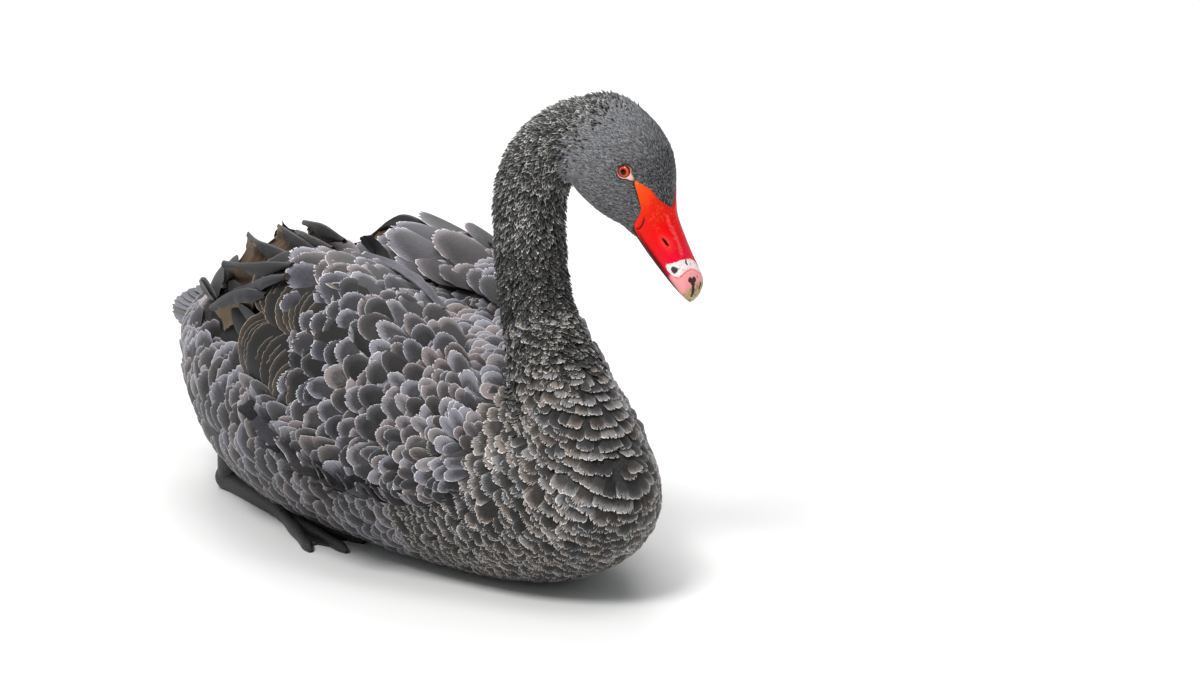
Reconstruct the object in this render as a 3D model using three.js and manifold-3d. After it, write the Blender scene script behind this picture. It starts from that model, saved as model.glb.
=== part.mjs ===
// A black swan resting on its belly, neck raised and bill bowed to its left, as a life-size still model.
// Millimetres, +Z up, +X the way the body faces, +Y its left side. The origin is the middle of the belly's flat.
import * as THREE from "three";
import { mergeVertices } from "three/addons/utils/BufferGeometryUtils.js";
import Module from "manifold-3d";

const wasm = await Module();
wasm.setup();
const { Vector3 } = THREE;
const { degToRad, clamp, lerp, seededRandom } = THREE.MathUtils;

// Clear space between pieces that meet.
const GAP = 0.3;
const BEYOND = 1500; // a size larger than the whole bird, for the cutting blocks

// Body from breast to stern: x, half width, height of the widest line, back, belly.
const HULL_FRAMES = [
  [267, 7, 80, 90, 70],
  [258, 28, 78, 112, 50],
  [236, 50, 74, 128, 28],
  [200, 71, 70, 142, 10],
  [150, 89, 72, 156, -2],
  [80, 109, 80, 174, -7],
  [0, 118, 86, 186, -8],
  [-80, 117, 91, 186, -7],
  [-150, 102, 97, 174, 0],
  [-205, 78, 103, 156, 26],
  [-245, 50, 110, 140, 52],
  [-268, 20, 114, 126, 84],
];
const HULL_STEPS = 22;
const HULL_SIDES = 32;
const BREAST_END = 118;
const RUMP_START = -150;

// Neck from the breast to the skull: middle of the section, half size fore and aft, half size sideways.
const NECK_FRAMES = [
  [200, 0, 80, 50, 50],
  [199, 0, 108, 51, 49],
  [184, 0, 142, 42, 36],
  [164, 0, 175, 34, 29],
  [148, 0, 209, 29.5, 27],
  [141.4, 0, 245, 28, 27],
  [140, 0, 275, 28, 27],
  [143, 1.4, 298, 28, 27],
  [152, 5.7, 316, 28, 27],
  [166, 12, 330, 28, 27],
  [184, 20.5, 340, 26, 25],
  [202, 29, 332, 16, 15],
];
const NECK_SIDES = 20;
const NECK_CUTS = { breast: 2.15, lower: 4.3, middle: 6.6, head: 8.4 }; // places counted along the frames

// Head: its middle between the eyes, the way it turns and how far it bows.
const HEAD_PLACE = new Vector3(222, 38, 321);
const HEAD_TURN = degToRad(25);
const HEAD_BOW = degToRad(41);
// Head along its own bill line: distance ahead of the eyes, half width, widest height, crown, throat.
const HEAD_FRAMES = [
  [-62, 4, -2, 3, -7],
  [-57, 15, -4, 14, -24],
  [-44, 24, -8, 26, -40],
  [-28, 27.5, -8, 31, -48],
  [-8, 28.5, -8, 32, -49],
  [10, 26.5, -10, 27.5, -46],
  [24, 22.5, -13, 17, -41],
  [36, 19, -17, 2, -40],
];
const HEAD_STEPS = 14;
const HEAD_SIDES = 20;

// Bill: distance ahead of the eyes, half width, widest height, ridge and edge of the mouth.
const BILL_UPPER_FRAMES = [
  [36.3, 17.2, -21, 0, -32],
  [46, 16.4, -23, -5.5, -32.3],
  [60, 15.4, -26, -13, -33],
  [75, 15, -28.5, -20.5, -34.5],
  [86, 14.2, -31, -25, -37],
  [93.5, 10.8, -34.5, -29, -40.5],
  [98, 4, -39, -35.5, -43],
];
const BILL_LOWER_FRAMES = [
  [36.3, 10.5, -35.5, -32.6, -38.2],
  [55, 12.2, -37, -33.4, -40.5],
  [75, 11.8, -38.5, -35.2, -41.8],
  [88, 9.5, -40.8, -38.4, -43.2],
  [94, 4.5, -43, -41.6, -44.6],
];
const BILL_SIDES = 16;
const NOSTRIL = { ahead: 57.5, out: 14.5, up: -20, long: 8, high: 2.6, deep: 4 };

// Eyes, in the head's own frame: the middle of the left ball, the way it looks and the circle that shows.
const EYE = { place: [2.5, 19.4, 2.4], axis: [0.13, 0.96, 0.24], radius: 7.4, visible: 5.3 };
const EYE_DISH = { radius: 16, away: 20.2 };
const LID = { thick: 1.4, proud: 0.5 };

// Folded wing, left side: x, then y and z of its lower edge, its bulge, its ridge and its inner edge.
const WING_FRAMES = [
  [174, 74, 88, 76, 98, 68, 110, 58, 118],
  [150, 89, 76, 92, 91, 76, 119, 56, 137],
  [120, 101, 72, 102, 97, 77, 139, 44, 162],
  [60, 113, 74, 116, 116, 84, 180, 28, 188],
  [0, 116, 88, 119, 132, 76, 204, 20, 198],
  [-60, 111, 114, 113, 150, 70, 206, 16, 198],
  [-120, 96, 142, 100, 168, 60, 202, 14, 193],
  [-170, 75, 150, 77, 165, 47, 184, 12, 180],
  [-212, 50, 142, 51, 146, 32, 155, 14, 156],
];
const WING_STEPS = 15;
const WING_SIDES = 10;
const WING_DEPTH = 46; // from the outer surface to the hidden inner side

// The left wing lies a little lower behind than the right one: its turn and the point it turns about.
const LEFT_DIP = { turn: degToRad(1.4), about: [100, 0, 130] };

// Tiers of wing feathers: places of their rows, part of the section they span and room for each across it.
const COVERTS_TIER = { rows: [1, 1.6, 2.1, 2.55, 3, 3.45], span: [0.04, 0.98], room: 29 };
const COVERT = { length: 52, width: 27, thick: 1.1, sink: 4, lift: 4.5, slant: degToRad(8), steps: 2 };
const GREATER_TIER = { rows: [3.9], span: [0.14, 0.66], room: 28 };
const GREATER = { ...COVERT, length: 66, width: 27, slant: degToRad(26), lift: 4.8 };
const SCAPULAR_TIER = { rows: [3.9, 4.55, 5.2], span: [0.76, 0.98], room: 34 };
const SCAPULAR = { ...COVERT, length: 66, width: 32, slant: degToRad(-4) };
const SECONDARY_TIER = { rows: [4.25, 4.55, 4.85, 5.15, 5.45, 5.75, 6.05], span: [0.4, 0.42], room: 80 };
const SECONDARY = { ...COVERT, length: 80, width: 23, slant: degToRad(54), tilt: degToRad(9), steps: 2 };
const CURLED_TIER = { rows: [4.4, 5, 5.6, 6.15], span: [0.44, 0.8], room: 36 };
const CURLED_BEND = { curl: degToRad(-2), roll: degToRad(42), steps: 3 };
const CURLED = { ...COVERT, ...CURLED_BEND, length: 82, width: 30, thick: 1.4, lift: 5.5, tip: 0.75 };
const PRIMARY_TIER = { count: 5, place: 6.6, span: [0.1, 0.5] };
const PRIMARY = { ...COVERT, length: 84, width: 17, thick: 1.2, lift: 1.5, slant: 0, tilt: degToRad(18) };

// Tail: its root, as the hull's frames, then its long feathers and the short ones above and below them.
const TAIL_ROOT = [
  [-206, 30, 122, 134, 108],
  [-240, 36, 121, 132, 108],
  [-268, 30, 119, 124, 112],
];
const TAIL = { start: -224, height: 125, count: 16, length: 84, shorter: 38, width: 23, thick: 1.2 };
const TAIL_FAN = { turn: degToRad(23), across: 26, fall: 10 };
const TAIL_COVERT = { across: 24, fall: 4, length: 48, width: 26, thick: 1.2 };
const TAIL_COVERT_ROWS = [
  { count: 6, height: 134, droop: 0.12 },
  { count: 4, height: 110, droop: -0.06 },
];

// Foot of the left side: where its toes part and the way they point, their lengths and the web between them.
const FOOT = {
  place: [-84, 70],
  turnout: degToRad(7),
  spread: degToRad(14),
  hind: degToRad(205),
  toes: [92, 106, 94],
  web: 3,
  webbed: 0.86,
  scallop: 0.44,
};
// Shank, tarsus, front toe and hind toe: distance ahead along each, height, half width, half height.
const SHANK_FRAMES = [[-96, 6, 6, 6], [-92, 14, 9, 9], [-84, 36, 12, 12], [-74, 62, 12, 12]];
const TARSUS_FRAMES = [[-106, 8, 4, 5], [-98, 8.5, 8.5, 9.5], [-78, 7.5, 6.5, 8], [-20, 6, 6, 7], [6, 5, 7, 6]];
const TOE_FRAMES = [[0, 4.5, 6, 5.5], [0.45, 3.5, 4.6, 4.8], [0.9, 2.8, 3.8, 4], [1, 1.8, 1.2, 2.2]];
const HIND_FRAMES = [[0, 6, 3, 3], [12, 4.5, 2.6, 2.8], [19, 2.2, 0.8, 1.2]];

// A closed surface from its points and faces as a solid, with the faces turned to point out.
function closed(points, faces) {
  let volume = 0;
  for (const [a, b, c] of faces) volume += points[a].dot(points[b].clone().cross(points[c]));
  const index = volume < 0 ? faces.map(([a, b, c]) => [a, c, b]) : faces;
  return new wasm.Manifold(
    new wasm.Mesh({
      numProp: 3,
      vertProperties: new Float32Array(points.flatMap((p) => p.toArray())),
      triVerts: new Uint32Array(index.flat()),
    }),
  );
}

// A three.js geometry as a solid that can be joined and cut.
function solid(geometry) {
  const bare = geometry.clone();
  bare.deleteAttribute("normal");
  bare.deleteAttribute("uv");
  const merged = mergeVertices(bare, 1e-4);
  const at = merged.getAttribute("position");
  const points = Array.from({ length: at.count }, (_, i) => new Vector3().fromBufferAttribute(at, i));
  const faces = [];
  for (let i = 0; i < merged.index.count; i += 3) faces.push([...merged.index.array.slice(i, i + 3)]);
  return closed(points, faces);
}

// A block that spans the given corners.
function block(low, high) {
  const size = high.map((value, i) => value - low[i]);
  const middle = high.map((value, i) => (value + low[i]) / 2);
  return solid(new THREE.BoxGeometry(...size).translate(...middle));
}

// The largest single body of a solid.
function largest(shape) {
  return shape.decompose().reduce((best, body) => (body.volume() > best.volume() ? body : best));
}

// A body through rings of points, closed at each end to the ring's middle.
function loft(rings) {
  const count = rings[0].length;
  const points = rings.flat();
  const faces = [];
  for (let i = 0; i + 1 < rings.length; i++) {
    for (let j = 0; j < count; j++) {
      const here = i * count + j;
      const next = i * count + ((j + 1) % count);
      faces.push([here, next, next + count], [here, next + count, here + count]);
    }
  }
  for (const start of [0, (rings.length - 1) * count]) {
    const middle = new Vector3();
    for (let j = 0; j < count; j++) middle.addScaledVector(points[start + j], 1 / count);
    points.push(middle);
    for (let j = 0; j < count; j++) {
      const edge = [start + j, start + ((j + 1) % count)];
      faces.push([...(start ? edge : edge.reverse()), points.length - 1]);
    }
  }
  return closed(points, faces);
}

// One row of a table of sizes, at any place between its rows, on a smooth curve through them.
function rowAt(table, place) {
  const k = clamp(Math.floor(place), 0, table.length - 2);
  const f = place - k;
  const row = (n) => table[clamp(n, 0, table.length - 1)];
  return table[k].map((from, c) => {
    const to = row(k + 1)[c];
    const leave = (to - row(k - 1)[c]) / 2;
    const reach = (row(k + 2)[c] - from) / 2;
    return (
      from * (2 * f ** 3 - 3 * f ** 2 + 1) +
      leave * (f ** 3 - 2 * f ** 2 + f) +
      to * (3 * f ** 2 - 2 * f ** 3) +
      reach * (f ** 3 - f ** 2)
    );
  });
}

// All rows of a table, filled in to the given number of steps.
function rows(table, steps) {
  return Array.from({ length: steps + 1 }, (_, i) => rowAt(table, (i / steps) * (table.length - 1)));
}

// Rings of an egg-shaped section along x: half width, height of the widest line, top and bottom.
function eggRings(table, steps, sides, grow = 0) {
  return rows(table, steps).map(([x, width, wide, top, bottom]) =>
    Array.from({ length: sides }, (_, j) => {
      const turn = (j / sides) * 2 * Math.PI;
      const rise = Math.sin(turn) * (Math.sin(turn) > 0 ? top - wide + grow : wide - bottom + grow);
      return new Vector3(x, Math.cos(turn) * (width + grow), wide + rise);
    }),
  );
}

// Hull: the body without neck, wings and tail, grown where it cuts its neighbours.
function hull(grow = 0) {
  const rings = eggRings(HULL_FRAMES, HULL_STEPS, HULL_SIDES, grow);
  for (const end of [0, rings.length - 1]) {
    for (const point of rings[end]) point.x += end ? -grow : grow;
  }
  return loft(rings);
}

// Head frame: x along the bill, y to the bird's left, z to the crown.
const headAhead = new Vector3(
  Math.cos(HEAD_BOW) * Math.cos(HEAD_TURN),
  Math.cos(HEAD_BOW) * Math.sin(HEAD_TURN),
  -Math.sin(HEAD_BOW),
);
const headLeft = new Vector3(-Math.sin(HEAD_TURN), Math.cos(HEAD_TURN), 0);
const headFrame = new THREE.Matrix4()
  .makeBasis(headAhead, headLeft, headAhead.clone().cross(headLeft))
  .setPosition(HEAD_PLACE);
const intoHead = headFrame.clone().invert();

// Rings of the neck between two places along its frames, square to its line.
function neckRings(from, to, steps, grow = 0) {
  return Array.from({ length: steps + 1 }, (_, i) => {
    const place = lerp(from, to, i / steps);
    const [x, y, z, deep, wide] = rowAt(NECK_FRAMES, place);
    const ahead = new Vector3(...rowAt(NECK_FRAMES, place + 0.01)).sub(new Vector3(x, y, z)).normalize();
    const turned = clamp((place - 5) / 4, 0, 1);
    const left = new Vector3(0, 1, 0).lerp(headLeft, turned);
    const fore = left.clone().cross(ahead).normalize();
    const side = ahead.clone().cross(fore);
    return Array.from({ length: NECK_SIDES }, (_, j) => {
      const turn = (j / NECK_SIDES) * 2 * Math.PI;
      return new Vector3(x, y, z)
        .addScaledVector(fore, Math.cos(turn) * (deep + grow))
        .addScaledVector(side, Math.sin(turn) * (wide + grow));
    });
  });
}

// Half the gap at a cut across the neck, counted in places along its frames.
function neckHalfGap(place) {
  const step = 0.01;
  const [a, b] = [place, place + step].map((at) => new Vector3(...rowAt(NECK_FRAMES, at).slice(0, 3)));
  return ((GAP / 2) * step) / a.distanceTo(b);
}

// A feather's vane over its spine of points and outward normals, thinner toward its tip and edges.
function vane(spine, { width, thick, cup = 0.14, root = 0.6, tip = 0.55, back = 0.1 }) {
  const last = spine.length - 1;
  const length = spine[0].at.distanceTo(spine[last].at);
  const points = [];
  spine.forEach(({ at, normal }, i) => {
    const part = i / last;
    const ahead = spine[Math.min(i + 1, last)].at.clone().sub(spine[Math.max(i - 1, 0)].at).normalize();
    const side = ahead.clone().cross(normal).normalize();
    const lift = side.clone().cross(ahead);
    const spread = (width / 2) * (i === last ? tip : lerp(root, 1, Math.min(1, 2 * part)));
    for (const across of [-1, 0, 1]) {
      const off = Math.abs(across);
      const middle = at.clone().addScaledVector(side, across * spread);
      middle.addScaledVector(lift, -cup * spread * off);
      middle.addScaledVector(ahead, i === last ? -back * length * off : 0);
      const half = (thick / 2) * (1 - 0.4 * part) * (1 - 0.25 * off);
      points.push(middle.clone().addScaledVector(lift, half), middle.addScaledVector(lift, -half));
    }
  });
  const number = (i, j, under) => (i * 3 + j) * 2 + under;
  const faces = [];
  for (let i = 0; i < last; i++) {
    for (const j of [0, 1]) {
      for (const under of [0, 1]) {
        const [a, b] = [number(i, j, under), number(i, j + 1, under)];
        const [c, d] = [number(i + 1, j, under), number(i + 1, j + 1, under)];
        const pair = j ? [[a, b, c], [b, d, c]] : [[a, b, d], [a, d, c]];
        faces.push(...(under ? pair.map((face) => face.reverse()) : pair));
      }
    }
  }
  const rim = [[0, 0], [0, 1], [0, 2]];
  for (let i = 1; i <= last; i++) rim.push([i, 2]);
  rim.push([last, 1], [last, 0]);
  for (let i = last - 1; i > 0; i--) rim.push([i, 0]);
  rim.forEach(([i, j], k) => {
    const [m, n] = rim[(k + 1) % rim.length];
    const [a, b, c, d] = [number(i, j, 0), number(m, n, 0), number(i, j, 1), number(m, n, 1)];
    faces.push([a, c, b], [b, c, d]);
  });
  return closed(points, faces);
}

// Frame of an eye, on the left or the right: its middle, with y the way it looks.
function eyeFrame(side) {
  const [x, y, z] = EYE.axis;
  const turn = new THREE.Quaternion().setFromUnitVectors(
    new Vector3(0, side, 0),
    new Vector3(x, side * y, z).normalize(),
  );
  const place = new Vector3(EYE.place[0], side * EYE.place[1], EYE.place[2]);
  return new THREE.Matrix4().compose(place, turn, new Vector3(1, side, 1));
}

// Eye ball, seated in the head.
function eyeBall(side, grow = 0) {
  return solid(new THREE.SphereGeometry(EYE.radius + grow, 14, 8).applyMatrix4(eyeFrame(side)));
}

// Dish in the side of the head that the eye and its lid sit in.
function eyeDish(side) {
  const dish = new THREE.SphereGeometry(EYE_DISH.radius, 14, 10).translate(0, EYE_DISH.away, 0);
  return solid(dish.applyMatrix4(eyeFrame(side)));
}

// Lid: a raised ring round the eye.
function lid(side) {
  const ring = new THREE.TorusGeometry(EYE.visible + LID.thick, LID.thick, 6, 14).rotateX(Math.PI / 2);
  ring.translate(0, Math.sqrt(EYE.radius ** 2 - EYE.visible ** 2) + LID.proud, 0);
  return solid(ring.applyMatrix4(eyeFrame(side)));
}

// Head with the last of the neck, in the head's own frame.
function head() {
  const skull = loft(eggRings(HEAD_FRAMES, HEAD_STEPS, HEAD_SIDES));
  const from = NECK_CUTS.head + neckHalfGap(NECK_CUTS.head);
  const nape = loft(neckRings(from, NECK_FRAMES.length - 1, 3));
  const root = nape.transform(intoHead.toArray());
  let shape = skull.add(root);
  for (const side of [-1, 1]) {
    shape = shape.subtract(eyeDish(side)).add(lid(side)).subtract(eyeBall(side, GAP));
  }
  return largest(shape);
}

// Upper bill with a slot for each nostril.
function billUpper() {
  let shape = loft(eggRings(BILL_UPPER_FRAMES, 12, BILL_SIDES));
  for (const side of [-1, 1]) {
    const slot = new THREE.SphereGeometry(1, 10, 6).scale(NOSTRIL.long / 2, NOSTRIL.deep, NOSTRIL.high / 2);
    slot.rotateY(degToRad(22)).translate(NOSTRIL.ahead, side * NOSTRIL.out, NOSTRIL.up);
    shape = shape.subtract(solid(slot));
  }
  return largest(shape);
}

// Lower bill, under the line of the mouth.
function billLower() {
  return loft(eggRings(BILL_LOWER_FRAMES, 8, BILL_SIDES));
}

// Outer surface of the left folded wing at a place along it and a part of the way up its section.
function wingPoint(place, up) {
  const row = rowAt(WING_FRAMES, place);
  const corners = [0, 1, 2, 3].map((k) => [row[1 + 2 * k], row[2 + 2 * k]]);
  const [y, z] = rowAt(corners, up * 3);
  return new Vector3(row[0], y, z);
}

// Outward normal of that surface.
function wingNormal(place, up) {
  const step = 0.02;
  const along = wingPoint(place + step, up).sub(wingPoint(place - step, up));
  const around = wingPoint(place, up + step).sub(wingPoint(place, up - step));
  return around.cross(along).negate().normalize();
}

// Core of the left wing, whose inner side lies inside the hull.
function wingCore() {
  const last = WING_FRAMES.length - 1;
  const rings = Array.from({ length: WING_STEPS + 1 }, (_, i) => {
    const place = (i / WING_STEPS) * last;
    const outer = Array.from({ length: WING_SIDES + 1 }, (_, j) => wingPoint(place, j / WING_SIDES));
    const depth = WING_DEPTH * Math.min(1, (last - place) / 2 + 0.3, place / 2 + 0.3);
    const inner = [0.8, 0.2].map((up) => {
      const point = wingPoint(place, up);
      return point.add(new Vector3(0, -0.8 * depth, -0.6 * depth));
    });
    return [...outer, ...inner];
  });
  return loft(rings);
}

// Spine of a feather that follows the wing's surface from its sunk root, then curls and rolls away from it.
function wingSpine(place, up, { length, sink, lift, slant, steps, tilt = 0, curl = 0, roll = 0 }) {
  const step = 0.02;
  const stride = length / steps;
  const free = curl ? 0.45 : 1;
  const [at, heading, normal] = [new Vector3(), new Vector3(), new Vector3()];
  return Array.from({ length: steps + 1 }, (_, i) => {
    const part = i / steps;
    if (part <= free && place < WING_FRAMES.length - 1.1 && up > 0.02) {
      normal.copy(wingNormal(place, up));
      at.copy(wingPoint(place, up)).addScaledVector(normal, lerp(-sink, lift, part ** 0.7));
      const back = wingPoint(place + step, up).sub(wingPoint(place - step, up));
      const down = wingPoint(place, up - step).sub(wingPoint(place, up + step));
      place += (Math.cos(slant) * stride * 2 * step) / back.length();
      up -= (Math.sin(slant) * stride * 2 * step) / down.length();
      heading.copy(back.setLength(Math.cos(slant))).add(down.setLength(Math.sin(slant))).normalize();
    } else {
      const side = heading.clone().cross(normal).normalize();
      const share = 1 / (steps * (1 - free) || 1);
      heading.applyAxisAngle(side, curl * share);
      normal.applyAxisAngle(side, curl * share).applyAxisAngle(heading, roll * share);
      at.addScaledVector(heading, stride);
    }
    return { at: at.clone(), normal: normal.clone().applyAxisAngle(heading, tilt) };
  });
}

// Length of the wing's section at a place along it.
function sectionLength(place) {
  const steps = 12;
  const points = Array.from({ length: steps + 1 }, (_, i) => wingPoint(place, i / steps));
  return points.slice(1).reduce((sum, point, i) => sum + point.distanceTo(points[i]), 0);
}

// Rows of feathers over the wing, each row half a feather off the one before, no two quite alike.
function tier({ rows: places, span, room }, feather) {
  return places.flatMap((place, k) => {
    const [low, high] = span;
    const count = Math.max(1, Math.round(((high - low) * sectionLength(place)) / room));
    return Array.from({ length: count }, (_, j) => {
      const up = lerp(low, high, (j + (k % 2 ? 0.25 : 0.75)) / count);
      const length = feather.length * (0.95 + 0.1 * seededRandom());
      const slant = feather.slant + 0.06 * (seededRandom() - 0.5);
      return vane(wingSpine(place, up, { ...feather, length, slant }), feather);
    });
  });
}

// Left wing: core and feathers.
function wing(seed) {
  seededRandom(seed);
  const vanes = [
    ...tier(COVERTS_TIER, COVERT),
    ...tier(GREATER_TIER, GREATER),
    ...tier(SCAPULAR_TIER, SCAPULAR),
    ...tier(SECONDARY_TIER, SECONDARY),
    ...tier(CURLED_TIER, CURLED),
  ];
  for (let i = 0; i < PRIMARY_TIER.count; i++) {
    const up = lerp(...PRIMARY_TIER.span, i / (PRIMARY_TIER.count - 1));
    vanes.push(vane(wingSpine(PRIMARY_TIER.place, up, PRIMARY), PRIMARY));
  }
  return wasm.Manifold.union([wingCore(), ...vanes]);
}

// Straight spine of a tail feather from the middle of its root, at an angle from the midline.
function tailSpine(angle, out, height, length, droop) {
  const heading = new Vector3(-Math.cos(angle), Math.sin(angle), -droop).normalize();
  const normal = new Vector3(0, 0, 1);
  const at = new Vector3(TAIL.start, out, height);
  return [0, 0.5, 1].map((part) => ({ at: at.clone().addScaledVector(heading, part * length), normal }));
}

// Tail: a short flat root under the rump, long feathers in a rounded fan, shorter ones above and below.
function tail() {
  const vanes = [];
  for (let i = 0; i < TAIL.count; i++) {
    const aside = (2 * i) / (TAIL.count - 1) - 1;
    const length = TAIL.length - TAIL.shorter * aside ** 2;
    const level = TAIL.height - TAIL_FAN.fall * Math.abs(aside);
    const spine = tailSpine(aside * TAIL_FAN.turn, aside * TAIL_FAN.across, level, length, 0.04);
    vanes.push(vane(spine, { ...TAIL, cup: 0.05, tip: 0.7 }));
  }
  for (const { count, height, droop } of TAIL_COVERT_ROWS) {
    for (let i = 0; i < count; i++) {
      const aside = (2 * i) / (count - 1) - 1;
      const level = height - TAIL_COVERT.fall * Math.abs(aside);
      const out = aside * TAIL_COVERT.across;
      const spine = tailSpine(aside * TAIL_FAN.turn, out, level, TAIL_COVERT.length, droop);
      vanes.push(vane(spine, TAIL_COVERT));
    }
  }
  return wasm.Manifold.union([loft(eggRings(TAIL_ROOT, 5, 16)), ...vanes]);
}

// A leg or toe along a level line at an angle from the body's: distance, height and half sizes of its rings.
function limb(table, angle, reach = 1) {
  const sides = 6;
  const ahead = new Vector3(Math.cos(angle), Math.sin(angle), 0);
  const side = new Vector3(-ahead.y, ahead.x, 0);
  const middles = table.map(([along, height]) =>
    new Vector3(...FOOT.place, height).addScaledVector(ahead, along * reach),
  );
  const rings = table.map(([, , wide, high], i) => {
    const next = middles[Math.min(i + 1, middles.length - 1)];
    const lift = next.clone().sub(middles[Math.max(i - 1, 0)]).normalize().cross(side);
    return Array.from({ length: sides }, (_, j) => {
      const turn = ((j + 0.5) / sides) * 2 * Math.PI;
      const point = middles[i].clone().addScaledVector(side, Math.cos(turn) * wide);
      return point.addScaledVector(lift, Math.sin(turn) * high);
    });
  });
  return loft(rings);
}

// Foot: a shank out of the belly, a tarsus along the floor, three webbed toes ahead and a small one behind.
function foot() {
  const pieces = [limb(SHANK_FRAMES, FOOT.turnout), limb(TARSUS_FRAMES, FOOT.turnout)];
  pieces.push(limb(HIND_FRAMES, FOOT.turnout + FOOT.hind));
  const web = new THREE.Shape();
  web.moveTo(0, 0);
  FOOT.toes.forEach((length, k) => {
    const angle = FOOT.turnout + (k - 1) * FOOT.spread;
    pieces.push(limb(TOE_FRAMES, angle, length));
    const edge = [Math.cos(angle), Math.sin(angle)].map((part) => FOOT.webbed * length * part);
    const { x, y } = web.currentPoint;
    if (k) web.quadraticCurveTo(FOOT.scallop * (x + edge[0]), FOOT.scallop * (y + edge[1]), ...edge);
    else web.lineTo(...edge);
  });
  const sheet = new THREE.ExtrudeGeometry(web, { depth: FOOT.web, bevelEnabled: false, curveSegments: 4 });
  pieces.push(solid(sheet.translate(...FOOT.place, 0)));
  return wasm.Manifold.union(pieces);
}

// The same solid on the other side of the body.
function mirrored(shape) {
  return shape.transform(new THREE.Matrix4().makeScale(1, -1, 1).toArray());
}

const floor = block([-BEYOND, -BEYOND, -BEYOND], [BEYOND, BEYOND, 0]);
const hullGrown = hull(GAP);
const skullGrown = loft(eggRings(HEAD_FRAMES, HEAD_STEPS, HEAD_SIDES, GAP)).transform(headFrame.toArray());

// Neck between two cuts, clear of the hull and the head.
function neckLength(from, to, steps) {
  const rings = neckRings(from + neckHalfGap(from), to - neckHalfGap(to), steps);
  return largest(loft(rings).subtract(hullGrown).subtract(skullGrown));
}

// Body with the root of the neck, parted into breast, torso and rump.
const neckRoot = loft(neckRings(0, NECK_CUTS.breast - neckHalfGap(NECK_CUTS.breast), 5));
const body = hull().add(neckRoot).subtract(floor);
const parted = (from, to) =>
  largest(body.intersect(block([from, -BEYOND, -BEYOND], [to, BEYOND, BEYOND])));

const material = (color, roughness) => new THREE.MeshStandardMaterial({ color, roughness, metalness: 0 });
const PLUMAGE = () => material("#26262a", 0.7);
const COVERTS = () => material("#55535a", 0.75);
const BILL_RED = () => material("#c22733", 0.4);
const FOOT_SKIN = () => material("#2a292b", 0.6);
const EYE_RED = () => material("#a1260f", 0.1);

// A solid as a named mesh.
function mesh(name, shape, look) {
  const { vertProperties, triVerts } = shape.getMesh();
  const geometry = new THREE.BufferGeometry();
  geometry.setAttribute("position", new THREE.BufferAttribute(vertProperties, 3));
  geometry.setIndex(new THREE.BufferAttribute(triVerts, 1));
  geometry.computeVertexNormals();
  const made = new THREE.Mesh(geometry, look);
  made.name = name;
  return made;
}

const swan = new THREE.Group();
swan.add(mesh("breast", parted(BREAST_END + GAP / 2, BEYOND), PLUMAGE()));
swan.add(mesh("torso", parted(RUMP_START + GAP / 2, BREAST_END - GAP / 2), PLUMAGE()));
swan.add(mesh("rump", parted(-BEYOND, RUMP_START - GAP / 2), PLUMAGE()));
swan.add(mesh("neck_lower", neckLength(NECK_CUTS.breast, NECK_CUTS.lower, 5), PLUMAGE()));
swan.add(mesh("neck_middle", neckLength(NECK_CUTS.lower, NECK_CUTS.middle, 5), PLUMAGE()));
swan.add(mesh("neck_upper", neckLength(NECK_CUTS.middle, NECK_CUTS.head, 6), PLUMAGE()));

const ownSide = block([-BEYOND, GAP / 2, -BEYOND], [BEYOND, BEYOND, BEYOND]);
const neckGrown = loft(neckRings(0, NECK_CUTS.middle, 12, GAP));
const about = new Vector3(...LEFT_DIP.about);
const dip = new THREE.Matrix4()
  .makeTranslation(about)
  .multiply(new THREE.Matrix4().makeRotationY(-LEFT_DIP.turn))
  .multiply(new THREE.Matrix4().makeTranslation(about.negate()));
const fitted = (shape) => largest(shape.subtract(hullGrown).subtract(neckGrown).intersect(ownSide));
swan.add(mesh("wing_left", fitted(wing(11).transform(dip.toArray())), COVERTS()));
swan.add(mesh("wing_right", mirrored(fitted(wing(12))), COVERTS()));
swan.add(mesh("tail", largest(tail().subtract(hullGrown)), PLUMAGE()));
const leftFoot = largest(foot().subtract(hullGrown).subtract(floor));
swan.add(mesh("foot_left", leftFoot, FOOT_SKIN()));
swan.add(mesh("foot_right", mirrored(leftFoot), FOOT_SKIN()));

const headGroup = new THREE.Group();
headGroup.applyMatrix4(headFrame);
headGroup.add(mesh("head", head(), PLUMAGE()));
headGroup.add(mesh("bill_upper", billUpper(), BILL_RED()));
headGroup.add(mesh("bill_lower", billLower(), BILL_RED()));
for (const [name, side] of [["eye_left", 1], ["eye_right", -1]]) {
  headGroup.add(mesh(name, eyeBall(side), EYE_RED()));
}
swan.add(headGroup);

export default swan;
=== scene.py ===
# The looks of a life-size black swan at rest, neck raised and bill bowed to its left.
# Sizes are in millimetres in the same frame as the solids, and every mesh is made in metres.
import math

import bpy
import numpy as np
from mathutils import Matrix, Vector
from mathutils.bvhtree import BVHTree
from mathutils.kdtree import KDTree


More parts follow.
